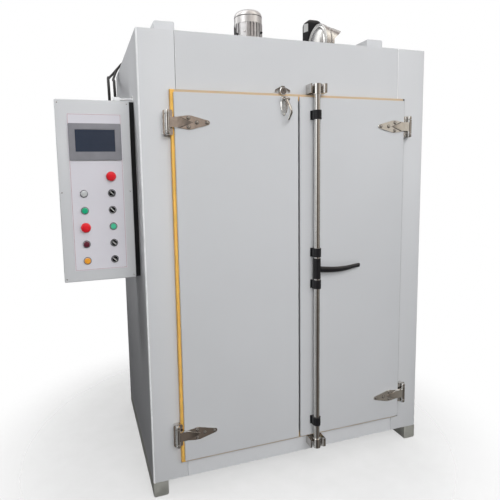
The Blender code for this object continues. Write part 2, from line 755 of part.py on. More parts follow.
def make_keepers():
    """Open-fronted keepers, so that the rod's end swings out with the door."""
    gap = ROD_RADIUS + KEEPER_SIDE_GAP
    left = ROD_X - gap
    right = ROD_X + gap
    for end, low_z in keeper_base_heights().items():
        name = f"{end}_keeper"
        high_z = low_z + KEEPER_HEIGHT
        cheek_y = -KEEPER_DEPTH + KEEPER_CHEEK_SETBACK
        outline = [
            (left - KEEPER_CHEEK, -SEAT), (left - KEEPER_CHEEK, cheek_y),
            (left, cheek_y), (left, -SEAT - KEEPER_PLATE),
            (right, -SEAT - KEEPER_PLATE), (right, -KEEPER_DEPTH + KEEPER_BLOCK_CHAMFER),
            (right + KEEPER_BLOCK_CHAMFER, -KEEPER_DEPTH), (right + KEEPER_BLOCK, -KEEPER_DEPTH),
            (right + KEEPER_BLOCK, -SEAT),
        ]
        bm = prism_mesh(outline, 2, low_z, high_z)
        solid(name, bm, (ROD_X, 0, low_z), "chrome")


def make_lock_rod():
    """The rod, with a D-shaped cam on each end that turns in its keeper."""
    empty("lock_rod_axis", (ROD_X, ROD_Y, HANDLE_HEIGHT), "right_door_axis")
    bases = keeper_base_heights()
    low_z = bases["bottom"]
    high_z = bases["top"] + KEEPER_HEIGHT
    profile = [
        (0, low_z), (ROD_RADIUS - ROD_CHAMFER, low_z), (ROD_RADIUS, low_z + ROD_CHAMFER),
        (ROD_RADIUS, high_z - ROD_CHAMFER), (ROD_RADIUS - ROD_CHAMFER, high_z), (0, high_z),
    ]
    bm = revolved_mesh(profile, (ROD_X, ROD_Y, 0), segments=28)
    rod = solid("lock_rod", bm, (ROD_X, ROD_Y, HANDLE_HEIGHT), "chrome", "lock_rod_axis")
    top_start = high_z - ROD_CHAMFER - CAM_HEIGHT
    for end, start in (("bottom", low_z + ROD_CHAMFER), ("top", top_start)):
        reach = 180 - CAM_FLAT_ANGLE
        outline = arc((ROD_X, ROD_Y), CAM_RADIUS, -reach, reach, 22)
        cam = prism_mesh(outline, 2, start, start + CAM_HEIGHT)
        union(rod, f"{end}_cam", cam, "lock_rod_axis")


def handle_stations():
    """The lever's centre line and half height, from its root in the hub to its blunt end."""
    stations = []
    for i in range(HANDLE_STEPS + 1):
        t = i / HANDLE_STEPS
        reach = ROD_RADIUS * 0.9 + (HANDLE_LENGTH - ROD_RADIUS) * t
        out = -HANDLE_BOW_OUT * sin(pi * min(t * 1.15, 1.0))
        sag = -HANDLE_DROP - HANDLE_SAG * sin(pi * t) + HANDLE_SAG * t * t
        half = HANDLE_ROOT + (HANDLE_TIP - HANDLE_ROOT) * t
        stations.append((Vector((ROD_X + reach, ROD_Y + out, HANDLE_HEIGHT + sag)), half))
    return stations


def footprint_centre():
    """The middle of the whole oven's footprint at ground level, from the box to the handle's front."""
    front_y = min(centre.y - HANDLE_FLATNESS * half for centre, half in handle_stations())
    return Vector(((BOX_LEFT + CABINET_WIDTH) / 2, (front_y + CABINET_DEPTH) / 2, 0))


def handle_mesh():
    """An oval bar swept along the lever's stations."""
    bm = bmesh.new()
    rings = []
    for centre, half in handle_stations():
        ring = []
        for k in range(HANDLE_SIDES):
            angle = 2 * pi * k / HANDLE_SIDES
            offset = Vector((0, HANDLE_FLATNESS * half * cos(angle), half * sin(angle)))
            ring.append(bm.verts.new(centre + offset))
        rings.append(ring)
    for first, second in zip(rings, rings[1:]):
        for k in range(HANDLE_SIDES):
            j = (k + 1) % HANDLE_SIDES
            bm.faces.new((first[k], first[j], second[j], second[k]))
    bm.faces.new(rings[0])
    bm.faces.new(list(reversed(rings[-1])))
    return bm


def make_lock_handle():
    guide_inner = MID_GUIDE_FROM_HANDLE - GUIDE_HEIGHT / 2
    half = guide_inner - HUB_GAP
    place = (ROD_X, ROD_Y, HANDLE_HEIGHT)
    inner = ROD_RADIUS + SEAT
    profile = [
        (inner, -half), (HUB_RADIUS - 0.001, -half), (HUB_RADIUS, -half + 0.001),
        (HUB_RADIUS, half - 0.001), (HUB_RADIUS - 0.001, half), (inner, half),
    ]
    handle = solid("lock_handle", revolved_mesh(profile, place), place, "black_paint", "lock_rod_axis")
    union(handle, "handle_lever", handle_mesh(), "lock_rod_axis")
    bore = cylinder_mesh(inner, -half - 0.01, half + 0.01, place)
    cut(handle, "handle_bore", bore, "lock_rod_axis")


def latch_plate_outline(x, top):
    """A plate with square shoulders that tapers to a round tip at the bottom, as (x, z) points."""
    half = LATCH_PLATE_WIDTH / 2
    bottom = top - LATCH_PLATE_HEIGHT
    tip = arc((x, bottom + LATCH_PLATE_TIP), LATCH_PLATE_TIP, 200, 340, 8)
    shoulder = bottom + LATCH_PLATE_TAPER
    return [(x - half, top), (x - half, shoulder)] + tip + [(x + half, shoulder), (x + half, top)]


def make_latch():
    """A pull latch on the left door, under a strike on the fascia."""
    x = MIDDLE_X - LATCH_FROM_SPLIT
    face = DOOR_FACE_Y - SEAT
    front_y = face - LATCH_PLATE_THICKNESS
    top = DOOR_TOP - LATCH_FROM_DOOR_TOP
    pin_y = DOOR_FACE_Y - LATCH_PIN_OUT
    pin_z = top - LATCH_PIN_DROP
    half = LATCH_PLATE_WIDTH / 2
    plate = prism_mesh(latch_plate_outline(x, top), 1, front_y, face)
    front = [e for e in plate.edges if all(v.co.y < front_y + 1e-6 for v in e.verts)]
    bevel_edges(plate, front, 0.001, 1)
    body = solid("latch_body", plate, (x, face, top), "chrome", "left_door_axis")
    ear_outline = arc((pin_y, pin_z), LATCH_EAR_RADIUS, 90, 270, 10)
    ear_foot = LATCH_EAR_RADIUS + 0.002
    ear_outline += [(face - 0.001, pin_z - ear_foot), (face - 0.001, pin_z + ear_foot)]
    for side, low_x in (("left", x - half), ("right", x + half - LATCH_EAR_THICKNESS)):
        ear = prism_mesh(ear_outline, 0, low_x, low_x + LATCH_EAR_THICKNESS)
        union(body, f"latch_{side}_ear", ear, "left_door_axis")
    pin = cylinder_mesh(LATCH_PIN_RADIUS, -half + 0.001, half - 0.001, (x, pin_y, pin_z), (1, 0, 0), 16)
    union(body, "latch_pin", pin, "left_door_axis")
    make_latch_lever(x, pin_y, pin_z)
    make_strike(x)


def lever_stations(x, pin_y, pin_z):
    """The lever's centre line with its half width, from the pin to the tip."""
    steps = 12
    stations = []
    for i in range(steps + 1):
        t = i / steps
        centre = Vector((
            x + LEVER_OFFSET + LEVER_SWEEP * sin(pi * 0.85 * t) ** 2,
            pin_y - LEVER_THICKNESS - LEVER_BOW * sin(pi * 0.80 * t),
            pin_z - LEVER_LENGTH * t,
        ))
        half = (LEVER_WIDTH + (LEVER_TIP_WIDTH - LEVER_WIDTH) * t) / 2
        stations.append((centre, half))
    return stations


def make_latch_lever(x, pin_y, pin_z):
    """A curved lever: it bows out from the door, sweeps to the right and comes back at its tip."""
    empty("latch_axis", (x, pin_y, pin_z), "left_door_axis")
    bm = bmesh.new()
    rings = []
    thick = LEVER_THICKNESS / 2
    for centre, half in lever_stations(x, pin_y, pin_z):
        section = (
            (-half, thick), (-half, 0), (-half * 0.6, -thick), (half * 0.6, -thick), (half, 0), (half, thick),
        )
        rings.append([bm.verts.new(centre + Vector((dx, dy, 0))) for dx, dy in section])
    for first, second in zip(rings, rings[1:]):
        for k in range(len(first)):
            j = (k + 1) % len(first)
            bm.faces.new((first[k], first[j], second[j], second[k]))
    bm.faces.new(rings[0])
    bm.faces.new(list(reversed(rings[-1])))
    lever = solid("latch_lever", bm, (x, pin_y, pin_z), "chrome", "latch_axis")
    half = LEVER_WIDTH / 2
    at = (x + LEVER_OFFSET, pin_y, pin_z)
    boss = cylinder_mesh(LEVER_BOSS_RADIUS, -half, half, at, (1, 0, 0), 20)
    union(lever, "lever_boss", boss, "latch_axis")
    bore = cylinder_mesh(LATCH_PIN_RADIUS + RUNNING, -half - 0.01, half + 0.01, at, (1, 0, 0), 16)
    cut(lever, "lever_bore", bore, "latch_axis")


def make_strike(x):
    """The catch on the fascia: a chevron over a neck, whose ring hangs in front of the gasket."""
    low_z = OPENING_TOP + GASKET_OUTER + KEEPER_FROM_GASKET
    wing_z = low_z + STRIKE_WING_RISE
    apex_x = x + STRIKE_APEX_AT
    apex_z = low_z + STRIKE_RISE
    left, right = x - STRIKE_LEFT_WING, x + STRIKE_RIGHT_WING
    outline = [
        (left, wing_z), (apex_x, apex_z - STRIKE_BAND), (right, wing_z),
        (right, wing_z + STRIKE_BAND), (apex_x, apex_z), (left, wing_z + STRIKE_BAND),
    ]
    chevron = prism_mesh(outline, 1, -SEAT - STRIKE_THICKNESS, -SEAT)
    strike = solid("latch_strike", chevron, (x, 0, low_z), "chrome")
    ring_back = GASKET_THICKNESS + 3 * SEAT
    half = STRIKE_NECK_WIDTH / 2
    neck = box_mesh(
        (x - half, -ring_back - STRIKE_RING_THICKNESS / 3, low_z), (x + half, -SEAT, apex_z - STRIKE_BAND / 2)
    )
    union(strike, "strike_neck", neck, "curing_oven")
    ring_front = ring_back + STRIKE_RING_THICKNESS
    chamfer = STRIKE_RING_THICKNESS / 5
    at = (x, 0, low_z + STRIKE_RING_RISE)
    profile = [
        (0, ring_back), (STRIKE_RING_RADIUS, ring_back), (STRIKE_RING_RADIUS, ring_front - chamfer),
        (STRIKE_RING_RADIUS - chamfer, ring_front), (STRIKE_HOLE_RADIUS, ring_front),
        (STRIKE_HOLE_RADIUS, ring_back + chamfer), (0, ring_back + chamfer),
    ]
    ring = revolved_mesh(profile, at, (0, -1, 0), 24)
    union(strike, "strike_ring", ring, "curing_oven")


def make_control_box():
    back_y = BOX_FROM_FRONT + BOX_DEPTH
    bm = box_mesh((BOX_LEFT, BOX_FROM_FRONT, BOX_BOTTOM), (BOX_RIGHT, back_y, BOX_TOP))
    bevel_edges(bm, list(bm.edges), BOX_FOLD, 3)
    box = solid("control_box", bm, (BOX_LEFT, BOX_FROM_FRONT, BOX_BOTTOM), "light_grey_paint")
    for name in PUSH_BUTTONS:
        cut(box, f"{name}_pocket", button_hole_mesh(name), "curing_oven")
    bm = box_mesh(
        (BOX_RIGHT + SEAT, BOX_FROM_FRONT + SPACER_RECESS, BOX_BOTTOM + SPACER_RECESS),
        (-SEAT, back_y - SPACER_RECESS, BOX_TOP - SPACER_RECESS),
    )
    solid("control_box_spacer", bm, (BOX_RIGHT, BOX_FROM_FRONT, BOX_BOTTOM), "black_paint")


def control_places():
    """Where each control sits on the plate: name to (x, z)."""
    places = {}
    for side, names in ((-1, LEFT_COLUMN), (1, RIGHT_COLUMN)):
        for row, name in enumerate(names):
            if name:
                places[name] = (PLATE_MIDDLE_X + side * COLUMN_SPACING / 2, FIRST_ROW - ROW_PITCH * row)
    return places


def button_hole_mesh(name):
    """The bore that a push button's stem slides in, through the plate and into the box."""
    x, z = control_places()[name]
    deep = STEM_DEPTH + BUTTON_TRAVEL + STEM_END_GAP
    at = (x, PLATE_FACE_Y, z)
    return cylinder_mesh(BUTTON_RADIUS + RUNNING, -deep, RING_HEIGHT, at, (0, -1, 0), 24)


def make_control_plate():
    """The front plate with the ring of every control, and the lamps, fixed on it."""
    low = (PLATE_MIDDLE_X - PLATE_WIDTH / 2, BOX_BOTTOM + PLATE_BOTTOM)
    high = (PLATE_MIDDLE_X + PLATE_WIDTH / 2, PLATE_TOP)
    outline = rounded_rectangle(low, high, 0.003, 3)
    bm = prism_mesh(outline, 1, PLATE_FACE_Y, BOX_FROM_FRONT - SEAT)
    plate = solid("control_plate", bm, (PLATE_MIDDLE_X, BOX_FROM_FRONT, low[1]), "aluminium_plate")
    sunk = PLATE_THICKNESS / 2
    for name, (x, z) in control_places().items():
        at = (x, PLATE_FACE_Y, z)
        if name in PUSH_BUTTONS:
            cut(plate, f"{name}_hole", button_hole_mesh(name), "curing_oven")
        if name.endswith("lamp"):
            dome = [(0, -sunk), (RING_RADIUS, -sunk), (RING_RADIUS, RING_HEIGHT)]
            dome += [(BUTTON_RADIUS, RING_HEIGHT + 0.001), (BUTTON_RADIUS, LAMP_RISE - 0.003)]
            dome += [(BUTTON_RADIUS - 0.003, LAMP_RISE - 0.0006), (0, LAMP_RISE)]
            bm = revolved_mesh(dome, at, (0, -1, 0), 24)
        else:
            hole = BUTTON_RADIUS + RUNNING
            ring = [(hole, -sunk), (RING_RADIUS, -sunk), (RING_RADIUS, RING_HEIGHT - 0.001)]
            ring += [(RING_RADIUS - 0.001, RING_HEIGHT), (hole, RING_HEIGHT)]
            bm = revolved_mesh(ring, at, (0, -1, 0), 24)
        union(plate, f"{name}_ring", bm, "curing_oven")


def make_screen():
    low_x = PLATE_MIDDLE_X - BEZEL_WIDTH / 2
    back_y = PLATE_FACE_Y - SEAT
    front_y = back_y - BEZEL_THICKNESS
    outline = rounded_rectangle(
        (low_x, BEZEL_BOTTOM), (low_x + BEZEL_WIDTH, BEZEL_BOTTOM + BEZEL_HEIGHT), 0.004
    )
    bm = prism_mesh(outline, 1, front_y, back_y)
    front = [e for e in bm.edges if all(v.co.y < front_y + 1e-6 for v in e.verts)]
    bevel_edges(bm, front, 0.0015, 2)
    bezel = solid("screen_bezel", bm, (PLATE_MIDDLE_X, back_y, BEZEL_BOTTOM), "grey_plastic")
    middle_z = BEZEL_BOTTOM + BEZEL_HEIGHT / 2 + SCREEN_OFFSET_UP
    half_x, half_z = SCREEN_WIDTH / 2, SCREEN_HEIGHT / 2
    floor_y = back_y - BEZEL_THICKNESS / 3
    pocket = box_mesh(
        (PLATE_MIDDLE_X - half_x, front_y - 0.01, middle_z - half_z),
        (PLATE_MIDDLE_X + half_x, floor_y, middle_z + half_z),
    )
    cut(bezel, "screen_pocket", pocket, "curing_oven")
    bm = box_mesh(
        (PLATE_MIDDLE_X - half_x + SEAT, front_y + SCREEN_RECESS, middle_z - half_z + SEAT),
        (PLATE_MIDDLE_X + half_x - SEAT, floor_y - SEAT, middle_z + half_z - SEAT),
    )
    solid("screen", bm, (PLATE_MIDDLE_X, front_y, middle_z), "dark_screen")


def button_profile(mushroom):
    """(radius, height) points over the plate at rest: a stem, then a flat cap or a mushroom."""
    stem = [(0, -STEM_DEPTH), (BUTTON_RADIUS, -STEM_DEPTH)]
    cap_low = RING_HEIGHT + BUTTON_TRAVEL + 0.001
    if not mushroom:
        high = RING_HEIGHT + BUTTON_STAND
        return stem + [
            (BUTTON_RADIUS, high - 0.0015), (BUTTON_RADIUS - 0.0015, high), (0, high - 0.0006),
        ]
    high = cap_low + MUSHROOM_HEIGHT
    return stem + [
        (BUTTON_RADIUS, cap_low), (MUSHROOM_RADIUS - 0.001, cap_low),
        (MUSHROOM_RADIUS, cap_low + 0.002), (MUSHROOM_RADIUS - 0.0015, cap_low + 0.006),
        (MUSHROOM_RADIUS * 0.6, high - 0.001), (0, high),
    ]


def knob_mesh(x, z):
    """A selector's round base, in its ring."""
    return cylinder_mesh(BUTTON_RADIUS, SEAT, RING_HEIGHT + 0.001, (x, PLATE_FACE_Y, z), (0, -1, 0), 24)


def grip_mesh(x, z):
    """A selector's grip bar, turned to its rest position."""
    half = KNOB_BAR_WIDTH / 2
    reach = BUTTON_RADIUS
    outline = arc((0, reach - half), half, 0, 180, 6) + arc((0, half - reach), half, 180, 360, 6)
    bm = prism_mesh(outline, 1, PLATE_FACE_Y - KNOB_HEIGHT, PLATE_FACE_Y - SEAT * 4)
    front = [e for e in bm.edges if all(v.co.y < PLATE_FACE_Y - KNOB_HEIGHT + 1e-6 for v in e.verts)]
    bevel_edges(bm, front, 0.0012, 1)
    turn = Matrix.Rotation(radians(KNOB_REST_ANGLE), 4, "Y")
    bmesh.ops.transform(bm, matrix=Matrix.Translation((x, 0, z)) @ turn, verts=bm.verts)
    return bm


def make_controls():
    for name, (x, z) in control_places().items():
        at = (x, PLATE_FACE_Y, z)
        if name in PUSH_BUTTONS:
            colour, mushroom = PUSH_BUTTONS[name]
            bm = revolved_mesh(button_profile(mushroom), at, (0, -1, 0), 28)
            solid(name, bm, at, colour)
        if name.startswith("selector"):
            knob = solid(name, knob_mesh(x, z), at, "black_plastic")
            union(knob, f"{name}_grip", grip_mesh(x, z), "curing_oven")


CABLE_ROUTES = {
    "fan_cable": (
        (-0.085, 0.270, 1.6598),
        (-0.085, 0.270, 1.672),
        (-0.085, 0.277, 1.704),
        (-0.084, 0.302, 1.740),
        (-0.082, 0.338, 1.765),
        (-0.077, 0.401, 1.785),
        (-0.072, 0.466, 1.797),
        (-0.067, 0.531, 1.809),
        (-0.061, 0.596, 1.823),
        (-0.053, 0.661, 1.839),
        (-0.043, 0.724, 1.858),
        (-0.025, 0.782, 1.884),
        (0.002, 0.828, 1.921),
        (0.030, 0.846, 1.950),
        (0.067, 0.853, 1.972),
        (0.110, 0.854, 1.971),
        (0.140, 0.853, 1.942),
        (0.146, 0.853, 1.919),
        (0.146, 0.853, 1.9081),
    ),
    "blower_cable": (
        (-0.061, 0.270, 1.6598),
        (-0.061, 0.270, 1.671),
        (-0.061, 0.277, 1.702),
        (-0.060, 0.302, 1.736),
        (-0.057, 0.338, 1.758),
        (-0.054, 0.400, 1.774),
        (-0.050, 0.463, 1.786),
        (-0.046, 0.525, 1.799),
        (-0.041, 0.587, 1.813),
        (-0.035, 0.649, 1.831),
        (-0.025, 0.714, 1.857),
        (-0.008, 0.777, 1.898),
        (0.010, 0.804, 1.927),
        (0.036, 0.821, 1.955),
        (0.073, 0.829, 1.974),
        (0.113, 0.830, 1.971),
        (0.141, 0.829, 1.940),
        (0.146, 0.829, 1.919),
        (0.146, 0.829, 1.9081),
    ),
}


def smooth_points(route, count):
    """Points of a smooth curve through the route, about evenly spaced."""
    ends = [route[0] * 2 - route[1]] + list(route) + [route[-1] * 2 - route[-2]]
    dense = []
    for i in range(len(route) - 1):
        p0, p1, p2, p3 = ends[i:i + 4]
        for step in range(24):
            t = step / 24
            dense.append(0.5 * (
                2 * p1 + (p2 - p0) * t + (2 * p0 - 5 * p1 + 4 * p2 - p3) * t * t
                + (3 * p1 - p0 - 3 * p2 + p3) * t * t * t
            ))
    dense.append(route[-1])
    lengths = [0.0]
    for a, b in zip(dense, dense[1:]):
        lengths.append(lengths[-1] + (b - a).length)
    points = []
    for i in range(count):
        target = lengths[-1] * i / (count - 1)
        k = next(n for n, length in enumerate(lengths) if length >= target - 1e-9)
        points.append(dense[k])
    return points


def make_cable(name):
    route = [Vector(point) for point in CABLE_ROUTES[name]]
    data = bpy.data.curves.new(name, "CURVE")
    data.dimensions = "3D"
    data.bevel_depth = CABLE_DIAMETER / 2
    data.bevel_resolution = 3
    data.use_fill_caps = True
    points = [route[0]] + smooth_points(route[1:-1], CABLE_POINTS) + [route[-1]]
    spline = data.splines.new("POLY")
    spline.points.add(len(points) - 1)
    for point, place in zip(spline.points, points):
        point.co = (*(place - route[0]), 1.0)
    made = bpy.data.objects.new(name, data)
    bpy.context.scene.collection.objects.link(made)
    made.location = route[0] - FRAMES["curing_oven"]
    made.parent = bpy.data.objects["curing_oven"]
    data.materials.append(MATERIALS["black_cable"])


def gland_pair(name, places, base_z):
    """A gland under each cable's end, side by side on one block."""
    margin = GLAND_RADIUS + 0.002
    low = [min(place[i] for place in places) - margin for i in range(2)] + [base_z + SEAT]
    high = [max(place[i] for place in places) + margin for i in range(2)]
    high.append(base_z + SEAT + GLAND_BLOCK)
    block = solid(name, box_mesh(low, high), low, "black_plastic")
    for number, place in enumerate(places, start=1):
        profile = [
            (0, GLAND_BLOCK / 2), (GLAND_RADIUS, GLAND_BLOCK / 2), (GLAND_RADIUS, GLAND_HEIGHT * 0.6),
            (GLAND_RADIUS * 0.8, GLAND_HEIGHT), (0, GLAND_HEIGHT),
        ]
        gland = revolved_mesh(profile, (place[0], place[1], base_z + SEAT), (0, 0, 1), 20)
        union(block, f"{name}_{number}", gland, "curing_oven")


def make_cables():
    gland_pair("control_box_glands", [route[0] for route in CABLE_ROUTES.values()], BOX_TOP)
    gland_pair("roof_glands", [route[-1] for route in CABLE_ROUTES.values()], BODY_TOP)
    for name in CABLE_ROUTES:
        make_cable(name)


def fin_outline():
    """The motor's cross-section: four smooth pads with cooling slots between, as (x, y) points."""
    points = []

    def add(radius, angle):
        points.append((FAN_X + radius * cos(radians(angle)), FAN_Y + radius * sin(radians(angle))))

    slotted = 90 - 2 * FAN_PAD_HALF_ANGLE
    pitch = slotted / FAN_SLOTS
    for pad in range(4):
        middle = FAN_FIRST_PAD + 90 * pad
        for share in (-1, -0.5, 0, 0.5, 1):
            add(FAN_BODY_RADIUS, middle + share * FAN_PAD_HALF_ANGLE)
        for slot in range(FAN_SLOTS):
            centre = middle + FAN_PAD_HALF_ANGLE + pitch * (slot + 0.5)
            add(FAN_BODY_RADIUS, centre - FAN_SLOT_HALF_ANGLE)
            add(FAN_CORE_RADIUS, centre - FAN_SLOT_HALF_ANGLE * 0.8)
            add(FAN_CORE_RADIUS, centre + FAN_SLOT_HALF_ANGLE * 0.8)
            add(FAN_BODY_RADIUS, centre + FAN_SLOT_HALF_ANGLE)
    return points


def wiring_pad_mesh(low_z, high_z):
    """A smooth cover over the motor's wiring, on its front left pad."""
    half = WIRING_PAD_WIDTH / 2
    outer = FAN_BODY_RADIUS + WIRING_PAD_RISE
    bm = box_mesh((FAN_CORE_RADIUS * 0.8, -half, low_z), (outer, half, high_z))
    front = [e for e in bm.edges if all(v.co.x > outer - 1e-6 for v in e.verts)]
    bevel_edges(bm, front, WIRING_PAD_RISE / 2, 3)
    turn = Matrix.Rotation(radians(FAN_FIRST_PAD), 4, "Z")
    bmesh.ops.transform(bm, matrix=Matrix.Translation((FAN_X, FAN_Y, 0)) @ turn, verts=bm.verts)
    return bm


def make_fan():
    """The circulation fan's motor: flange, slotted body with its wiring cover, and cowl."""
    base_z = BODY_TOP + SEAT
    flange_top = base_z + FAN_FLANGE_THICKNESS
    profile = [
        (0, 0), (FAN_FLANGE_RADIUS, 0), (FAN_FLANGE_RADIUS, FAN_FLANGE_THICKNESS - 0.002),
        (FAN_FLANGE_RADIUS - 0.002, FAN_FLANGE_THICKNESS), (0, FAN_FLANGE_THICKNESS),
    ]
    bm = revolved_mesh(profile, (FAN_X, FAN_Y, base_z), segments=32)
    solid("fan_flange", bm, (FAN_X, FAN_Y, base_z), "cast_aluminium")
    body_low = flange_top + SEAT
    body_high = body_low + FAN_BODY_HEIGHT
    body = solid(
        "fan_motor_body", prism_mesh(fin_outline(), 2, body_low, body_high),
        (FAN_X, FAN_Y, body_low), "cast_aluminium",
    )
    pad = wiring_pad_mesh(body_low + WIRING_PAD_MARGIN, body_high - WIRING_PAD_MARGIN)
    union(body, "wiring_pad", pad, "curing_oven")
    make_cowl(body_high + SEAT)


def make_cowl(low_z):
    """The fan's cover: a groove round its waist, round shoulders and a slightly domed top."""
    groove_low = FAN_COWL_HEIGHT * 0.50
    groove_high = FAN_COWL_HEIGHT * 0.56
    side = [
        (FAN_COWL_RADIUS, 0.0), (FAN_COWL_RADIUS, groove_low),
        (FAN_COWL_RADIUS - FAN_COWL_GROOVE, groove_low + FAN_COWL_GROOVE),
        (FAN_COWL_RADIUS - FAN_COWL_GROOVE, groove_high - FAN_COWL_GROOVE),
        (FAN_COWL_RADIUS, groove_high),
    ]
    shoulder_radius = FAN_COWL_RADIUS - FAN_COWL_CORNER
    shoulder = arc((shoulder_radius, FAN_COWL_HEIGHT - FAN_COWL_CORNER), FAN_COWL_CORNER, 0, 84, 6)
    dome = [
        (shoulder_radius * 0.55, FAN_COWL_HEIGHT + FAN_COWL_DOME * 0.7),
        (0, FAN_COWL_HEIGHT + FAN_COWL_DOME),
    ]
    bm = revolved_mesh([(0, 0)] + side + shoulder + dome, (FAN_X, FAN_Y, low_z), segments=32)
    solid("fan_cowl", bm, (FAN_X, FAN_Y, low_z), "cast_aluminium")


def make_blower():
    """The exhaust blower: a motor housing behind an open drum in its cradle, and the outlet hood."""
    base_z = BODY_TOP + SEAT
    axis_z = base_z + BLOWER_AXIS_HEIGHT
    motor_y = BLOWER_Y + DRUM_RADIUS + BLOWER_MOTOR_GAP
    low = (BLOWER_X + BLOWER_MOTOR_OFFSET, motor_y, base_z)
    high = (low[0] + BLOWER_MOTOR_WIDTH, motor_y + BLOWER_MOTOR_DEPTH, base_z + BLOWER_MOTOR_HEIGHT)
    bm = box_mesh(low, high)
    upper = [e for e in bm.edges if all(v.co.z > high[2] - 1e-6 for v in e.verts)]
    bevel_edges(bm, upper, BLOWER_MOTOR_CORNER, 5)
    solid("blower_motor", bm, low, "black_paint")
    make_drum(base_z, (BLOWER_X, BLOWER_Y, axis_z), motor_y - SEAT)
    make_exhaust_duct((BLOWER_X + DRUM_LENGTH + SEAT, BLOWER_Y, axis_z))


def make_drum(base_z, at, cradle_end_y):
    """A cup that opens to the right, with stepped bands round its rim."""
    second = DRUM_RADIUS - DRUM_STEP
    third = second - DRUM_STEP
    profile = [
        (0, 0), (DRUM_RADIUS, 0), (DRUM_RADIUS, DRUM_LENGTH * 0.20), (second, DRUM_LENGTH * 0.24),
        (second, DRUM_LENGTH * 0.45), (third, DRUM_LENGTH * 0.50), (third, DRUM_LENGTH * 0.68),
        (DUCT_RADIUS, DRUM_LENGTH), (DRUM_BORE_RADIUS, DRUM_LENGTH),
        (DRUM_BORE_RADIUS, DRUM_BACK_WALL), (0, DRUM_BACK_WALL),
    ]
    drum = solid("blower_drum", revolved_mesh(profile, at, (1, 0, 0), 36), at, "galvanised_steel")
    half = DRUM_CRADLE_WIDTH / 2
    outline = [
        (at[1] - half, base_z), (cradle_end_y, base_z), (at[1] + half, at[2] - DRUM_RADIUS * 0.84),
        (at[1] - half, at[2] - DRUM_RADIUS * 0.84),
    ]
    cradle = prism_mesh(outline, 0, at[0] + DRUM_BACK_WALL / 2, at[0] + DRUM_LENGTH * 0.6)
    union(drum, "blower_cradle", cradle, "curing_oven")


def hood_mesh(at):
    """A tube that starts upright at the drum and soon tilts down to the right."""
    bm = bmesh.new()
    segments = 32
    direct = Vector((cos(radians(DUCT_TILT)), 0, -sin(radians(DUCT_TILT))))
    bend_end = Vector((DUCT_BEND_LENGTH, 0, -DUCT_BEND_LENGTH * sin(radians(DUCT_TILT / 2))))
    stations = [
        (Vector((DUCT_COLLAR_LENGTH / 4, 0, 0)), 0),
        (bend_end / 2, DUCT_TILT / 2),
        (bend_end, DUCT_TILT),
        (bend_end + direct * (DUCT_LENGTH - DUCT_BEND_LENGTH), DUCT_TILT),
    ]
    shells = []
    for radius in (DUCT_RADIUS, DUCT_RADIUS - DUCT_WALL):
        rings = []
        for centre, tilt in stations:
            turn = Matrix.Rotation(radians(tilt), 3, "Y")
            ring = []
            for i in range(segments):
                angle = 2 * pi * i / segments
                spoke = turn @ Vector((0, radius * cos(angle), radius * sin(angle)))
                ring.append(bm.verts.new(Vector(at) + centre + spoke))
            rings.append(ring)
        shells.append(rings)
    outer, inner = shells
    loop = outer + list(reversed(inner))
    for first, second in zip(loop, loop[1:] + loop[:1]):
        for i in range(segments):
            j = (i + 1) % segments
            bm.faces.new((first[i], first[j], second[j], second[i]))
    return bm


def make_exhaust_duct(at):
    """A hood cut off obliquely so that it is open below, on the collar that joins it to the drum."""
    duct = solid("exhaust_duct", hood_mesh(at), at, "galvanised_steel")
    reach = 4 * DUCT_RADIUS
    mouth = box_mesh((0, -reach, -reach), (2 * reach, reach, reach))
    turn = Matrix.Rotation(radians(DUCT_MOUTH_ANGLE), 4, "Y")
    bmesh.ops.transform(mouth, matrix=Matrix.Translation(at) @ turn, verts=mouth.verts)
    cut(duct, "duct_mouth", mouth, "curing_oven")
    inner = DUCT_RADIUS - DUCT_WALL - DUCT_COLLAR_RISE / 3
    outer = DUCT_RADIUS + DUCT_COLLAR_RISE
    profile = [(inner, 0), (outer, 0), (outer, DUCT_COLLAR_LENGTH), (inner, DUCT_COLLAR_LENGTH)]
    union(duct, "duct_collar", revolved_mesh(profile, at, (1, 0, 0), 36), "curing_oven")


def main():
    clear_scene()
    make_materials()
    root = empty("curing_oven", (0, 0, 0))
    root.location = -footprint_centre()
    make_shell()
    make_skids()
    make_roof_runners()
    make_gasket()
    make_doors()
    make_hinges()
    make_rod_guides()
    make_keepers()
    make_lock_rod()
    make_lock_handle()
    make_latch()
    make_control_box()
    make_control_plate()
    make_screen()
    make_controls()
    make_cables()
    make_fan()
    make_blower()


main()
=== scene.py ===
"""Looks of the two-door curing oven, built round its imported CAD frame. Metres, +Z up."""

import json
from math import cos, pi, radians, sin

import bmesh
import bpy
from mathutils import Euler, Matrix, Vector


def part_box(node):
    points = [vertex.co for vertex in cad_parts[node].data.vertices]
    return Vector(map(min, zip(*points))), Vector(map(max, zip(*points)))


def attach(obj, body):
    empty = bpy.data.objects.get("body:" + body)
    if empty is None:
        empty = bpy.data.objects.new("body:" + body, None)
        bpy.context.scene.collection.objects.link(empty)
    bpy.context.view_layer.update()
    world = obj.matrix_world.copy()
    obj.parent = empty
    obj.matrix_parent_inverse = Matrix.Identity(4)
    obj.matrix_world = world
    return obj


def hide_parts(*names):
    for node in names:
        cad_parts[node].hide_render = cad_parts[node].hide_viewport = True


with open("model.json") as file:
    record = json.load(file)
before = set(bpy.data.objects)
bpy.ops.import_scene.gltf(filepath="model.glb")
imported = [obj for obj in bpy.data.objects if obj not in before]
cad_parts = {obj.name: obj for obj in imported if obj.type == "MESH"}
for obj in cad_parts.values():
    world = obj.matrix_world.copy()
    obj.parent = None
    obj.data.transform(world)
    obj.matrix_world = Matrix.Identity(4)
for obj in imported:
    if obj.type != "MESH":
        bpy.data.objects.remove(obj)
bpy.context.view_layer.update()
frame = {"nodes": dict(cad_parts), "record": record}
RECORD = frame["record"]
BODY_OF = {node: body for body, nodes in RECORD["behaviour"]["bodies"].items() for node in nodes}

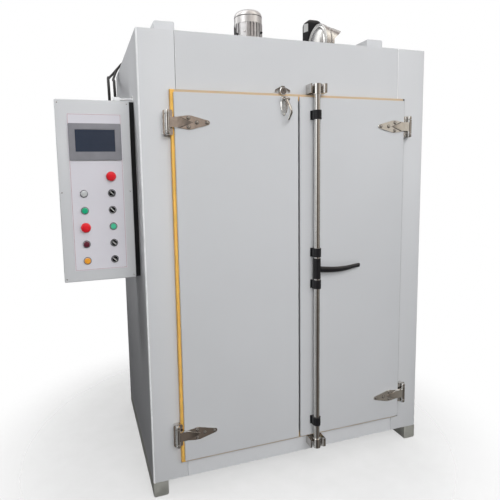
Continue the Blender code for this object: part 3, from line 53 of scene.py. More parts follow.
# The cabinet's front left corner on the ground, in the frame: x right, y back, z up from there
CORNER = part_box("left_skid")[0].copy()
CORNER.z = 0

# Camera, measured from the same corner
CAMERA_PLACE = (-0.229, -1.808, 1.332)
CAMERA_YAW = 18.52
CAMERA_PITCH = 6.62
CAMERA_ROLL = 1.05
CAMERA_LENS = 33.16
CAMERA_SHIFT = (0.0306, -0.0402)

CABLE_DIAMETER = 0.012
CABLE_SAMPLES = 34
CABLE_SPLINE_STEPS = 24
FAN_CABLE_ROUTE = (
    (-0.085, 0.270, 1.6598),
    (-0.085, 0.270, 1.672),
    (-0.085, 0.277, 1.704),
    (-0.084, 0.302, 1.740),
    (-0.082, 0.338, 1.765),
    (-0.077, 0.401, 1.785),
    (-0.072, 0.466, 1.797),
    (-0.067, 0.531, 1.809),
    (-0.061, 0.596, 1.823),
    (-0.053, 0.661, 1.839),
    (-0.043, 0.724, 1.858),
    (-0.025, 0.782, 1.884),
    (0.002, 0.828, 1.921),
    (0.030, 0.846, 1.950),
    (0.067, 0.853, 1.972),
    (0.110, 0.854, 1.971),
    (0.140, 0.853, 1.942),
    (0.146, 0.853, 1.919),
    (0.146, 0.853, 1.9081),
)
BLOWER_CABLE_ROUTE = (
    (-0.061, 0.270, 1.6598),
    (-0.061, 0.270, 1.671),
    (-0.061, 0.277, 1.702),
    (-0.060, 0.302, 1.736),
    (-0.057, 0.338, 1.758),
    (-0.054, 0.400, 1.774),
    (-0.050, 0.463, 1.786),
    (-0.046, 0.525, 1.799),
    (-0.041, 0.587, 1.813),
    (-0.035, 0.649, 1.831),
    (-0.025, 0.714, 1.857),
    (-0.008, 0.777, 1.898),
    (0.010, 0.804, 1.927),
    (0.036, 0.821, 1.955),
    (0.073, 0.829, 1.974),
    (0.113, 0.830, 1.971),
    (0.141, 0.829, 1.940),
    (0.146, 0.829, 1.919),
    (0.146, 0.829, 1.9081),
)

# Wear along the sharp edges, painted lighter partly as wear and partly as a painted highlight, and
# dust, which every finish has
EDGE_WEAR_AND_HIGHLIGHT_TINT = 1.25
EDGE_WEAR_AND_HIGHLIGHT_LIFT = 0.005
WEAR_WIDTH = 0.002
WORN_ROUGHNESS = 0.08
EDGE_FACING = (0.995, 0.86)
# Patches of the edges' wear and painted highlight as noise scale, detail and range, and of dust as
# noise scale and detail
EDGE_PATCHES = (45, 4, 0.1, 1)
DUST_PATCHES = (9, 5)
DUST = 0.16
DUST_THINNEST = 0.3
DUST_COLOUR = (0.42, 0.40, 0.37)
DUST_ON_WALLS = 0.06
DUSTY_ROUGHNESS = 0.3
# Each noise is stretched from this span of its values to the range that is asked for
NOISE_SPAN = (0.3, 0.7)
PATCH_DETAIL = 5
ROUGH_DETAIL = 6
GRAIN_DETAIL = 2
WAVE_DETAIL = 1

# Bends in degrees: shaded as round, taken as flat, and sharp enough to be eased
SMOOTH_UNDER = 35
FLAT_UNDER = 0.5
EASED_OVER = 30
# How near the points of a CAD mesh, and the ends of a closed ring, are welded
WELD = 2e-5
CLOSING = 1e-6

# Places on the CAD, from the same corner
CABINET_WIDTH = 1.320
HINGE_X = 0.104
HINGE_Y = -0.0329
HINGE_HEIGHTS = (1.5423, 0.2683)
HINGE_SIDES = (("left", HINGE_X, 1), ("right", CABINET_WIDTH - HINGE_X, -1))
BARREL_HALF = 0.031
STRAP_FACE_Y = -0.0349
STRAP_SCREWS = ((0.155, 0), (0.114, 0), (0.081, 0.017), (0.081, -0.017))
PLATE_FACE_Y = 0.1367
LEFT_COLUMN_X = -0.2111
RIGHT_COLUMN_X = -0.1031
FIRST_ROW = 1.342
ROW_PITCH = 0.068
LAMP_ROWS = {"clear_lamp": 1, "green_lamp": 2, "maroon_lamp": 4, "amber_lamp": 5}
LEFT_ROWS = (1, 2, 3, 4, 5)
RIGHT_ROWS = (0, 1, 2, 3, 4, 5)
SELECTOR_ROWS = (1, 2, 4, 5)
SELECTOR_ANGLE = -45
FAN_AXIS = (0.640, 0.510)
COWL_RADIUS = 0.071
COWL_SEAMS = (2.0992, 2.1342)
FAN_PAD = 0.0811
DRUM_AXIS = (0.375, 1.9928)
DRUM_FACE_X = 0.967
MOTOR_FACE_X = 0.9694
MOTOR_SCREWS = ((0.492, 1.925), (0.534, 1.925))
MOTOR_LABEL_FACES = (-0.0004, 0.0001)
MOTOR_LABEL = ((0.482, 2.092), (0.533, 2.098), (0.533, 2.142), (0.482, 2.131))
ROD_X = 0.734
GUIDE_HEIGHTS = (1.5823, 0.998, 0.858, 0.2283)
ROOF_Z = 1.8913
GASKET_BOTTOM, GASKET_TOP, GASKET_WIDTH = 0.1413, 1.6693, 0.012
GASKET_LEFT, GASKET_RIGHT = 0.136, 1.1895
# The right run of the door seal is painted dark grey as shade
GASKET_SHADE = (0.10, 0.095, 0.09)
GASKET_PALE = (0.54, 0.41, 0.27)

# Small parts as (radius, height) points over the face they stand on
SCREW_RADIUS = 0.0048
SCREW_HEIGHT = 0.0022
SCREW_TURN_STEP = 37
HINGE_PIN_END = [(0.0062, -0.001), (0.0062, 0.0012), (0.0045, 0.0024), (0, 0.0028)]
HINGE_KNUCKLE = [
    (0, 0.0335), (0.0086, 0.0335), (0.0092, 0.0342), (0.0092, 0.0440), (0.0080, 0.0466),
    (0.0050, 0.0476), (0, 0.0476),
]
# A dark ring of painted shade round each strap screw's seat
SCREW_SEAT_SHADE = [(0.0064, -0.0002), (0.0064, 0.0004), (0.0078, 0.0004), (0.0078, -0.0002)]
LAMP_LENS = [(0.0121, 0.0045), (0.0121, 0.0068), (0.0112, 0.0084), (0.0085, 0.0095), (0, 0.0100)]
RING_TRIM = [
    (0.0153, 0.0003), (0.0153, 0.0035), (0.0146, 0.0046), (0.0128, 0.0046), (0.0126, 0.0038),
    (0.0126, 0.0003),
]
GLAND_NUT = [
    (0, 0), (0.0135, 0), (0.0142, 0.001), (0.0142, 0.0055), (0.0135, 0.0065), (0, 0.0065),
]
GLAND_NUT_DROP = 0.0125
BOLT_WASHER = [(0.0085, 0), (0.0085, 0.0012), (0, 0.0012)]
BOLT_HEAD = [(0.0058, 0.0012), (0.0058, 0.0050), (0.0050, 0.0056), (0, 0.0056)]
DRAIN_KNOB = [(0.0032, 0), (0.0032, 0.030), (0.0024, 0.034), (0, 0.0345)]
DRUM_COVER = [
    (0.1004, -0.0008), (0.0998, 0.0022), (0.0975, 0.0034), (0.0945, 0.0030), (0.0925, 0.0010),
    (0.0905, 0.0008), (0.0885, 0.0030), (0.0860, 0.0044), (0.0830, 0.0042), (0.0805, 0.0022),
    (0.0790, 0.0006), (0.0772, 0.0006), (0.0757, 0.0030), (0.0700, 0.0076), (0.0600, 0.0112),
    (0.0450, 0.0140), (0.0250, 0.0156), (0.0080, 0.0160), (0, 0.0160),
]
# A black ring of painted shade in the drum cover's groove
DRUM_GROOVE_SHADE = [(0.0791, 0.0012), (0.0788, 0.0020), (0.0774, 0.0020), (0.0771, 0.0012)]
DRUM_SCREWS = 6
DRUM_FIRST_SCREW = 30
DRUM_SCREW_RING = 0.0962
DRUM_SCREW_OUT = 0.0032
# The glands of the fan taper by these shares of their radius
FAN_GLAND = [(1, 0), (1, 0.012), (0.8, 0.0135), (0.8, 0.0165), (0.6, 0.0180), (0, 0.0180)]

# Rings round the fan's axis, as (radius, height above the ground) points
FOOT_RING = [(0.0725, 2.0215), (0.0742, 2.0225), (0.0742, 2.0285), (0.0725, 2.0295)]
COWL_RING = [
    (COWL_RADIUS - 0.0012, 2.0960), (COWL_RADIUS + 0.0012, 2.0966),
    (COWL_RADIUS + 0.0012, 2.0984), (COWL_RADIUS - 0.0012, 2.0990),
]
# The section of a seam of the cowl, as (radius, rise from the seam's height) points
COWL_SEAM = [
    (COWL_RADIUS - 0.001, -0.0009), (COWL_RADIUS + 0.0004, -0.0007),
    (COWL_RADIUS + 0.0004, 0.0007), (COWL_RADIUS - 0.001, 0.0009),
]
# Round the fan: (degrees to the right of straight ahead, radius, height)
FAN_SCREWS = (
    (-33, FAN_PAD, 2.050), (-33, FAN_PAD, 1.990), (90, COWL_RADIUS, 2.112),
    (180, COWL_RADIUS, 2.112), (-150, COWL_RADIUS, 2.112),
)
FLANGE_BOLT_DEGREES = (-45, 45, 135, 225)
FLANGE_BOLT_RADIUS = 0.085
FLANGE_TOP = 1.9036
DRAIN_KNOB_PLACE = (-84, 0.0755, 2.050)
# The glands of the fan: (degrees, the gland's own radius, height), all from the same distance
FAN_GLANDS = ((-74, 0.0125, 2.044), (40, 0.0065, 2.053))
FAN_GLAND_START = 0.064

# The painted shade of a strap's creases runs from a root beside its rib to the rib's tip, as (out, up)
CREASE_ROOT = (0.046, 0.0190)
CREASE_TIP = (0.0965, 0)
CREASE_WIDTH = 0.0026
CREASE_HALF_DEPTH = 0.0003

# The raised face of the latch's plate: (height, half width) rows, and its section across
LATCH_X, LATCH_FACE_Y = 0.590, -0.0345
LATCH_ROWS = (
    (1.6340, 0.0165), (1.6150, 0.0162), (1.6000, 0.0145), (1.5880, 0.0104), (1.5800, 0.0052),
)
LATCH_BULGE = ((-1, 0), (-0.745, 0.0034), (0.15, 0.0023), (0.6, 0.0023), (1, 0))

# Folds and seams of the front; the pale strips on the folds are painted highlights
CORNER_FOLD = 0.0060
CORNER_FOLD_ENDS = (0.0656, 1.8910)
CORNER_FOLD_STEPS = 12
PANEL_SEAMS = (0.1471, 1.1729)
SEAM_ENDS = (GASKET_TOP + 0.0007, 1.8905)
SEAM_HALF_DEPTH = 0.0003
LINE_EASE = 0.00005
FRONT_LINES = (
    ("front_gaps", "seam_dark", ((PANEL_SEAMS[0] - 0.0006, PANEL_SEAMS[0] + 0.0006),)),
    # Pale strips on the folds as painted highlights
    ("front_fold_highlights", "pale_trim_and_fold_highlight", (
        (PANEL_SEAMS[0] + 0.0006, PANEL_SEAMS[0] + 0.0018),
        (PANEL_SEAMS[1] - 0.0014, PANEL_SEAMS[1] + 0.0014),
    )),
)

# Trim of the control box, the rod guides, the strike, the selectors and the roof
BLOCK_EASE = 0.0006
BRACKET_BLOCKS = (
    ((-0.0810, 0.155, 1.6429), (-0.0525, 0.200, 1.6465), BLOCK_EASE),
    ((-0.0810, 0.155, 1.6429), (-0.0525, 0.1575, 1.6600), BLOCK_EASE),
    ((-0.0530, 0.1550, 1.6500), (-0.0005, 0.1570, 1.6560), 0.0004),
    ((-0.0030, 0.1460, 1.6420), (-0.0001, 0.1660, 1.6660), BLOCK_EASE),
)
BRACKET_SCREWS = ((-0.0030, 0.156, 1.661), (-0.0030, 0.156, 1.647))
BORDER_WIDTH = 0.0009
BORDER_FACES = (-0.0002, 0.0004)
PLATE_BORDER = ((-0.2580, 0.9645), (-0.0562, 1.5865))
BOX_FRONT_SCREWS = [(x, 0.1390, z) for x in (-0.2936, -0.0286) for z in (0.930, 1.280, 1.630)]
BOX_TOP_SCREWS = [(x, y, 1.6430) for x in (-0.285, -0.200) for y in (0.160, 0.318)]
ROOF_SIDE_SCREWS = [(x, y, ROOF_Z) for x in (0.165, 1.155) for y in (0.13, 0.30, 0.46, 0.62, 0.77)]
ROOF_END_SCREWS = [(x, y, ROOF_Z) for y in (0.115, 0.785) for x in (0.33, 0.49, 0.83, 1.07)]
GUIDE_RIB_EDGES = (-0.0135, 0.0115)
GUIDE_RIB_HALF = 0.0216
GUIDE_RIB_FACES = (-0.0336, -0.0309)
GUIDE_RIB_HEIGHT = 0.002
GUIDE_RIB_EASE = 0.0003
STRIKE_SCREWS = ((0.566, -0.0063, 1.6800), (0.627, -0.0063, 1.6800))
POINTER_HALF = (0.0011, 0.0095)
POINTER_FACES = (-0.0173, -0.0160)

# Nodes whose finish differs a little from that of their slot
OWN_FINISH = {
    "left_door": "door_paint", "right_door": "door_paint",
    "top_keeper": "dull_chrome", "bottom_keeper": "dull_chrome",
}
# How far the sharp edges of the larger sheets and blocks are eased
EASED = {
    "left_side_panel": 0.006, "right_side_panel": 0.003, "back_panel": 0.0025, "roof_panel": 0.002,
    "left_door": 0.0022, "right_door": 0.0022, "control_box": 0.0015, "left_skid": 0.008,
    "right_skid": 0.008, "left_roof_runner": 0.002, "right_roof_runner": 0.002, "blower_motor": 0.002,
}

# The floor fades from its middle opacity to nothing between two distances from the oven
FLOOR_FINISH = dict(
    colour=(0.86, 0.86, 0.86), roughness=0.7, patch=(0.7, 0.99, 1.01), grain=(60, 0.05, 0.0005),
)
FLOOR_FADE = (0.75, 1.45)
FLOOR_OPACITY = 0.5
# Each light: place, target, size, power, colour and spread in degrees
LIGHTS = {
    "key": ((-1.5, -5.1, 2.5), (0, 0, 1.0), (0.9, 0.9), 39, (1.0, 0.995, 0.99), 120),
    "front_fill": ((1.2, -5.6, 4.8), (0, 0, 1.0), (4.0, 2.6), 124, (0.985, 0.99, 1.0), 140),
    "right_fill": ((4.6, -4.4, 2.6), (0.2, 0, 1.0), (2.0, 2.0), 26, (0.985, 0.99, 1.0), 140),
    "overhead": ((0, -0.6, 5.0), (0, 0, 0), (4.0, 4.0), 34, (1, 1, 1), 150),
    "floor_bounce": ((0.1, -2.3, 0.05), (0.1, 0, 0.25), (2.4, 0.5), 4.6, (1, 1, 1), 150),
    "back_fill": ((2.2, 5.8, 3.4), (0, 0.3, 1.0), (4.0, 3.0), 75, (0.985, 0.99, 1.0), 140),
    "side_top": ((-1.9, 0.2, 2.9), (-0.66, 0, 1.85), (0.7, 1.4), 5.0, (1, 1, 1), 70),
}
AMBIENT = (0.09, 0.09, 0.09 * 1.02)
BACKDROP = 1.0
# What shiny parts mirror, by degrees to the right of straight ahead of the doors
ROOM = (
    (-180, (0.08, 0.08, 0.09)), (-157, (0.10, 0.10, 0.11)), (-150, (0.95, 0.95, 0.95)),
    (-128, (0.95, 0.95, 0.95)), (-105, (0.20, 0.19, 0.19)),
    (-80, (0.42, 0.42, 0.42)), (-72, (1.30, 1.30, 1.30)), (-50, (1.30, 1.30, 1.30)),
    (-42, (0.30, 0.28, 0.27)), (-22, (0.13, 0.11, 0.10)), (0, (0.17, 0.145, 0.12)),
    (13, (0.46, 0.37, 0.31)), (20, (0.18, 0.15, 0.13)),
    (27, (0.15, 0.13, 0.12)), (32, (0.60, 0.53, 0.45)), (42, (0.72, 0.68, 0.62)),
    (60, (0.50, 0.47, 0.43)), (80, (0.14, 0.11, 0.10)), (100, (0.13, 0.11, 0.10)),
    (130, (0.40, 0.38, 0.37)), (155, (0.13, 0.13, 0.14)), (180, (0.08, 0.08, 0.09)),
)
# The colour ramp stops at 1, so the room's colours are divided by their peak and multiplied back
ROOM_PEAK = 1.3
# Upwards, from this span of the ray's rise, the room brightens by these factors
ROOM_RISE = (-0.3, 0.7)
ROOM_LIFT = (0.33, 1.9)

# Every finish. patch, rough_patch: noise scale and range; grain, waves: scale, strength, distance
FINISHES = {
    "cabinet_paint": dict(
        colour=(0.60, 0.61, 0.625), roughness=0.38, patch=(1.6, 0.975, 1.025),
        grain=(700, 0.10, 0.0003), waves=(4, 0.25, 0.004), Coat_Weight=0.25, Coat_Roughness=0.22,
    ),
    "door_paint": dict(
        colour=(0.555, 0.565, 0.58), roughness=0.40, patch=(1.6, 0.975, 1.025),
        grain=(700, 0.10, 0.0003), waves=(3, 0.30, 0.004), Coat_Weight=0.2, Coat_Roughness=0.25,
    ),
    "skid_paint": dict(
        colour=(0.29, 0.29, 0.265), roughness=0.55, patch=(14, 0.75, 1.2),
        grain=(260, 0.35, 0.0008),
    ),
    "gasket_rubber": dict(
        colour=(0.93, 0.54, 0.12), roughness=0.5, patch=(22, 0.9, 1.06), grain=(500, 0.2, 0.0004),
        Subsurface_Weight=0.08, Subsurface_Scale=0.01,
    ),
    "chrome": dict(
        colour=(0.80, 0.79, 0.77), roughness=0.09, metallic=1.0, patch=(60, 0.94, 1.02),
        rough_patch=(40, 0.7, 1.6), grain=(1200, 0.05, 0.0001), waves=(35, 0.30, 0.0006),
    ),
    "black_plastic": dict(
        colour=(0.007, 0.007, 0.009), roughness=0.30, patch=(40, 0.8, 1.3),
        grain=(800, 0.2, 0.0002), Specular_IOR_Level=0.4,
    ),
    # Black rubber, and also a black ring of painted shade in the blower drum's groove
    "black_rubber": dict(
        colour=(0.007, 0.007, 0.008), roughness=0.5, patch=(30, 0.8, 1.5),
        grain=(500, 0.3, 0.0003), Specular_IOR_Level=0.25,
    ),
    "control_plate": dict(
        colour=(0.71, 0.70, 0.75), roughness=0.38, metallic=0.12, patch=(6, 0.97, 1.02),
        grain=(350, 0.12, 0.0002), stretch=(0.02, 1, 1),
    ),
    "grey_plastic": dict(
        colour=(0.235, 0.235, 0.255), roughness=0.48, patch=(25, 0.92, 1.06),
        grain=(900, 0.3, 0.0002),
    ),
    "dark_screen": dict(
        colour=(0.025, 0.036, 0.06), roughness=0.10, patch=(9, 0.9, 1.15),
        grain=(500, 0.02, 0.0001), Coat_Weight=0.6, Coat_Roughness=0.05,
    ),
    "red_plastic": dict(
        colour=(0.72, 0.012, 0.022), roughness=0.30, patch=(80, 0.93, 1.04),
        grain=(900, 0.1, 0.0002),
    ),
    "green_plastic": dict(
        colour=(0.07, 0.50, 0.30), roughness=0.30, patch=(80, 0.93, 1.04),
        grain=(900, 0.1, 0.0002),
    ),
    "cast_metal": dict(
        colour=(0.66, 0.65, 0.65), roughness=0.36, metallic=0.75, patch=(35, 0.85, 1.08),
        grain=(420, 0.3, 0.0006),
    ),
    "cowl_paint": dict(
        colour=(0.86, 0.84, 0.83), roughness=0.30, metallic=0.65, patch=(12, 0.95, 1.04),
        grain=(500, 0.1, 0.0003),
    ),
    "black_paint": dict(
        colour=(0.007, 0.007, 0.008), roughness=0.55, patch=(30, 0.8, 1.4),
        grain=(400, 0.3, 0.0005), Specular_IOR_Level=0.22,
    ),
    "galvanised_steel": dict(
        colour=(0.86, 0.85, 0.83), roughness=0.22, metallic=0.9, patch=(55, 0.93, 1.03),
        grain=(300, 0.15, 0.0003), waves=(18, 0.25, 0.0015),
    ),
    "zinc": dict(
        colour=(0.72, 0.71, 0.69), roughness=0.22, metallic=1.0, patch=(200, 0.85, 1.05),
        grain=(900, 0.15, 0.0002),
    ),
    "ring_trim": dict(
        colour=(0.10, 0.10, 0.11), roughness=0.30, metallic=0.6, patch=(100, 0.9, 1.1),
        grain=(900, 0.1, 0.0002),
    ),
    "white_line": dict(
        colour=(0.75, 0.75, 0.74), roughness=0.45, patch=(200, 0.95, 1.03),
        grain=(900, 0.1, 0.0002),
    ),
    # Painted shade in the hinges' creases and round their screws' seats
    "crevice_shade": dict(
        colour=(0.055, 0.05, 0.045), roughness=0.5, patch=(90, 0.7, 1.4),
        grain=(500, 0.1, 0.0002),
    ),
    "dull_chrome": dict(
        colour=(0.58, 0.56, 0.54), roughness=0.14, metallic=1.0, patch=(60, 0.9, 1.05),
        rough_patch=(40, 0.7, 1.6), grain=(1200, 0.05, 0.0001), waves=(35, 0.35, 0.0007),
    ),
    "seam_dark": dict(
        colour=(0.16, 0.16, 0.17), roughness=0.5, patch=(30, 0.8, 1.2), grain=(500, 0.1, 0.0002),
    ),
    # Pale strips as painted highlights on the front's folds, and the pale paint of the control box's
    # bracket
    "pale_trim_and_fold_highlight": dict(
        colour=(0.86, 0.87, 0.88), roughness=0.4, patch=(30, 0.9, 1.05), grain=(500, 0.1, 0.0002),
    ),
    "border_line": dict(
        colour=(0.36, 0.12, 0.12), roughness=0.45, patch=(90, 0.9, 1.05),
        grain=(900, 0.1, 0.0002),
    ),
    "clear_lamp": dict(
        colour=(0.72, 0.74, 0.74), roughness=0.18, patch=(90, 0.95, 1.03),
        grain=(900, 0.05, 0.0002), Transmission_Weight=0.35, Coat_Weight=0.5,
    ),
    "green_lamp": dict(
        colour=(0.012, 0.40, 0.20), roughness=0.18, patch=(90, 0.95, 1.03),
        grain=(900, 0.05, 0.0002), Coat_Weight=0.5,
    ),
    "maroon_lamp": dict(
        colour=(0.11, 0.015, 0.03), roughness=0.18, patch=(90, 0.95, 1.03),
        grain=(900, 0.05, 0.0002), Coat_Weight=0.5,
    ),
    "amber_lamp": dict(
        colour=(0.86, 0.36, 0.035), roughness=0.18, patch=(90, 0.95, 1.03),
        grain=(900, 0.05, 0.0002), Coat_Weight=0.5,
    ),
}


def cabinet(x, y, z):
    """A place given from the cabinet's front left corner, in the frame."""
    return CORNER + Vector((x, y, z))


def make_camera():
    """The photograph's viewpoint."""
    data = bpy.data.cameras.new("camera")
    data.sensor_width = 36
    data.lens = CAMERA_LENS
    data.shift_x, data.shift_y = CAMERA_SHIFT
    data.clip_start = 0.05
    camera = bpy.data.objects.new("camera", data)
    bpy.context.scene.collection.objects.link(camera)
    heading = Euler((radians(90 - CAMERA_PITCH), 0, -radians(CAMERA_YAW))).to_matrix()
    turn = heading @ Matrix.Rotation(-radians(CAMERA_ROLL), 3, "Z")
    camera.matrix_world = Matrix.Translation(cabinet(*CAMERA_PLACE)) @ turn.to_4x4()
    bpy.context.scene.camera = camera


def add_piece(name, mesh, body, material):
    """Links a mesh as a piece that rides on a body, with a finish."""
    made = bpy.data.objects.new(name, mesh)
    bpy.context.scene.collection.objects.link(made)
    mesh.materials.clear()
    mesh.materials.append(material)
    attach(made, body)
    return made


def finish_mesh(bm, name, smooth_under=SMOOTH_UNDER):
    """Turns a bmesh into a mesh with smooth faces and sharp edges where it bends more than that."""
    bmesh.ops.recalc_face_normals(bm, faces=bm.faces)
    for edge in bm.edges:
        edge.smooth = len(edge.link_faces) == 2 and edge.calc_face_angle(pi) < radians(smooth_under)
    for face in bm.faces:
        face.smooth = True
    mesh = bpy.data.meshes.new(name)
    bm.to_mesh(mesh)
    bm.free()
    return mesh


def finish_piece(bm, name, body, finish, smooth_under=SMOOTH_UNDER):
    """Makes a bmesh into a piece of the same name."""
    return add_piece(name, finish_mesh(bm, name, smooth_under), body, MATERIALS[finish])


def merge(bm, mesh, matrix):
    """Adds a placed copy of a mesh."""
    copied = mesh.copy()
    copied.transform(matrix)
    bm.from_mesh(copied)
    bpy.data.meshes.remove(copied)


def revolved(bm, profile, place, axis=(0, 0, 1), segments=32):
    """Adds (radius, height) points turned about an axis through a place. Ends at radius 0 close it."""
    turn = Vector((0, 0, 1)).rotation_difference(Vector(axis)).to_matrix().to_4x4()
    matrix = Matrix.Translation(place) @ turn
    rings = []
    for radius, height in profile:
        count = segments if radius > 1e-6 else 1
        angles = [2 * pi * i / count for i in range(count)]
        rings.append([
            bm.verts.new(matrix @ Vector((radius * cos(a), radius * sin(a), height))) for a in angles
        ])
    for first, second in zip(rings, rings[1:]):
        for i in range(segments):
            j = (i + 1) % segments
            around = [first[i % len(first)], first[j % len(first)],
                      second[j % len(second)], second[i % len(second)]]
            bm.faces.new(list(dict.fromkeys(around)))


def ring(bm, outline, place, axis=(0, 0, 1), segments=32):
    """Adds a closed outline of (radius, height) points turned about an axis through a place."""
    revolved(bm, outline + outline[:1], place, axis, segments)
    bmesh.ops.remove_doubles(bm, verts=bm.verts, dist=CLOSING)


def prism(bm, outline, axis, start, end):
    """Adds a closed outline of (u, v) points, extruded along an axis: u and v are the other two."""
    others = [i for i in range(3) if i != axis]
    rings = []
    for height in (start, end):
        corners = []
        for u, v in outline:
            place = Vector()
            place[axis], place[others[0]], place[others[1]] = height, u, v
            corners.append(bm.verts.new(place))
        rings.append(corners)
    lower, upper = rings
    bm.faces.new(lower)
    bm.faces.new(list(reversed(upper)))
    for i in range(len(outline)):
        j = (i + 1) % len(outline)
        bm.faces.new((lower[i], lower[j], upper[j], upper[i]))


def carved(base, cutter, name):
    """The base bmesh less the cutter, as a finished mesh."""
    pair = []
    for part, bm in (("base", base), ("cutter", cutter)):
        made = bpy.data.objects.new(f"{name}_{part}", finish_mesh(bm, f"{name}_{part}"))
        bpy.context.scene.collection.objects.link(made)
        pair.append(made)
    target, tool = pair
    modifier = target.modifiers.new("carve", "BOOLEAN")
    modifier.operation = "DIFFERENCE"
    modifier.solver = "EXACT"
    modifier.object = tool
    result = bmesh.new()
    result.from_object(target, bpy.context.evaluated_depsgraph_get())
    for made in pair:
        bpy.data.objects.remove(made, do_unlink=True)
    return finish_mesh(result, name)


def block(bm, low, high, ease=BLOCK_EASE):
    """Adds a box with eased edges between two places given from the cabinet's corner."""
    low, high = Vector(low), Vector(high)
    solid = bmesh.new()
    size = Matrix.Diagonal((*(high - low), 1))
    bmesh.ops.create_cube(solid, size=1, matrix=Matrix.Translation(cabinet(*(low + high) / 2)) @ size)
    bmesh.ops.bevel(solid, geom=solid.edges[:], offset=ease, segments=2, profile=0.5, affect="EDGES",
                    clamp_overlap=True)
    mesh = bpy.data.meshes.new("block")
    solid.to_mesh(mesh)
    solid.free()
    bm.from_mesh(mesh)
    bpy.data.meshes.remove(mesh)


def make_screw():
    """A pan-head screw with a cross recess, its seat at the origin and its head towards +Z."""
    radius, height = SCREW_RADIUS, SCREW_HEIGHT
    head = bmesh.new()
    rim = [(0, -0.0002), (radius, -0.0002), (radius, height * 0.35), (radius * 0.94, height * 0.65)]
    revolved(head, rim + [(radius * 0.72, height * 0.92), (radius * 0.4, height), (0, height)],
             (0, 0, 0), segments=28)
    cross = bmesh.new()
    arm, half = radius * 0.55, radius * 0.11
    plus = [(arm, -half), (arm, half), (half, half), (half, arm), (-half, arm), (-half, half),
            (-arm, half), (-arm, -half), (-half, -half), (-half, -arm), (half, -arm), (half, -half)]
    prism(cross, plus, 2, height * 0.35, height * 2)
    return carved(head, cross, "screw_head")


def math_node(tree, operation, *values):
    """The output of a Math node whose inputs are numbers or sockets."""
    node = tree.nodes.new("ShaderNodeMath")
    node.operation = operation
    for number, value in enumerate(values):
        if isinstance(value, bpy.types.NodeSocket):
            tree.links.new(value, node.inputs[number])
        else:
            node.inputs[number].default_value = value
    return node.outputs[0]


def mixed(tree, factor, first, second, blend="MIX"):
    """The output of a Mix node between two colours, each given as a value or a socket."""
    mix = tree.nodes.new("ShaderNodeMix")
    mix.data_type = "RGBA"
    mix.blend_type = blend
    for value, socket in ((factor, 0), (first, 6), (second, 7)):
        if isinstance(value, bpy.types.NodeSocket):
            tree.links.new(value, mix.inputs[socket])
        else:
            mix.inputs[socket].default_value = value
    return mix.outputs[2]


def ranged(tree, value, span, result, interpolation="LINEAR"):
    """The value stretched from one span of numbers to another."""
    spread = tree.nodes.new("ShaderNodeMapRange")
    spread.interpolation_type = interpolation
    spread.inputs["From Min"].default_value = span[0]
    spread.inputs["From Max"].default_value = span[1]
    spread.inputs["To Min"].default_value = result[0]
    spread.inputs["To Max"].default_value = result[1]
    tree.links.new(value, spread.inputs["Value"])
    return spread.outputs["Result"]


def paint_noise(tree, scale, detail, low, high, coordinates):
    """A noise texture stretched to the range low..high."""
    noise = tree.nodes.new("ShaderNodeTexNoise")
    noise.inputs["Scale"].default_value = scale
    noise.inputs["Detail"].default_value = detail
    tree.links.new(coordinates, noise.inputs["Vector"])
    return ranged(tree, noise.outputs["Fac"], NOISE_SPAN, (low, high))


def bump_of(tree, heights, shader):
    """Chains bumps given as (height socket, strength, distance) into the shader's normal."""
    normal = None
    for height, strength, distance in heights:
        bump = tree.nodes.new("ShaderNodeBump")
        bump.inputs["Strength"].default_value = strength
        bump.inputs["Distance"].default_value = distance
        tree.links.new(height, bump.inputs["Height"])
        if normal:
            tree.links.new(normal, bump.inputs["Normal"])
        normal = bump.outputs["Normal"]
    tree.links.new(normal, shader.inputs["Normal"])


def edge_mask(tree, where):
    """About 1 in broken patches along the sharp edges of a piece, and 0 on its faces."""
    rounded = tree.nodes.new("ShaderNodeBevel")
    rounded.samples = 4
    rounded.inputs["Radius"].default_value = WEAR_WIDTH
    facing = tree.nodes.new("ShaderNodeVectorMath")
    facing.operation = "DOT_PRODUCT"
    tree.links.new(rounded.outputs["Normal"], facing.inputs[0])
    tree.links.new(tree.nodes.new("ShaderNodeNewGeometry").outputs["Normal"], facing.inputs[1])
    edges = ranged(tree, facing.outputs["Value"], EDGE_FACING, (0, 1))
    return math_node(tree, "MULTIPLY", edges, paint_noise(tree, *EDGE_PATCHES, where))


def dust_mask(tree, where):
    """More on level tops than on walls, in soft patches."""
    split = tree.nodes.new("ShaderNodeSeparateXYZ")
    tree.links.new(tree.nodes.new("ShaderNodeNewGeometry").outputs["Normal"], split.inputs["Vector"])
    level = math_node(tree, "MAXIMUM", split.outputs["Z"], DUST_ON_WALLS)
    patches = paint_noise(tree, *DUST_PATCHES, DUST * DUST_THINNEST, DUST, where)
    return math_node(tree, "MULTIPLY", level, patches)


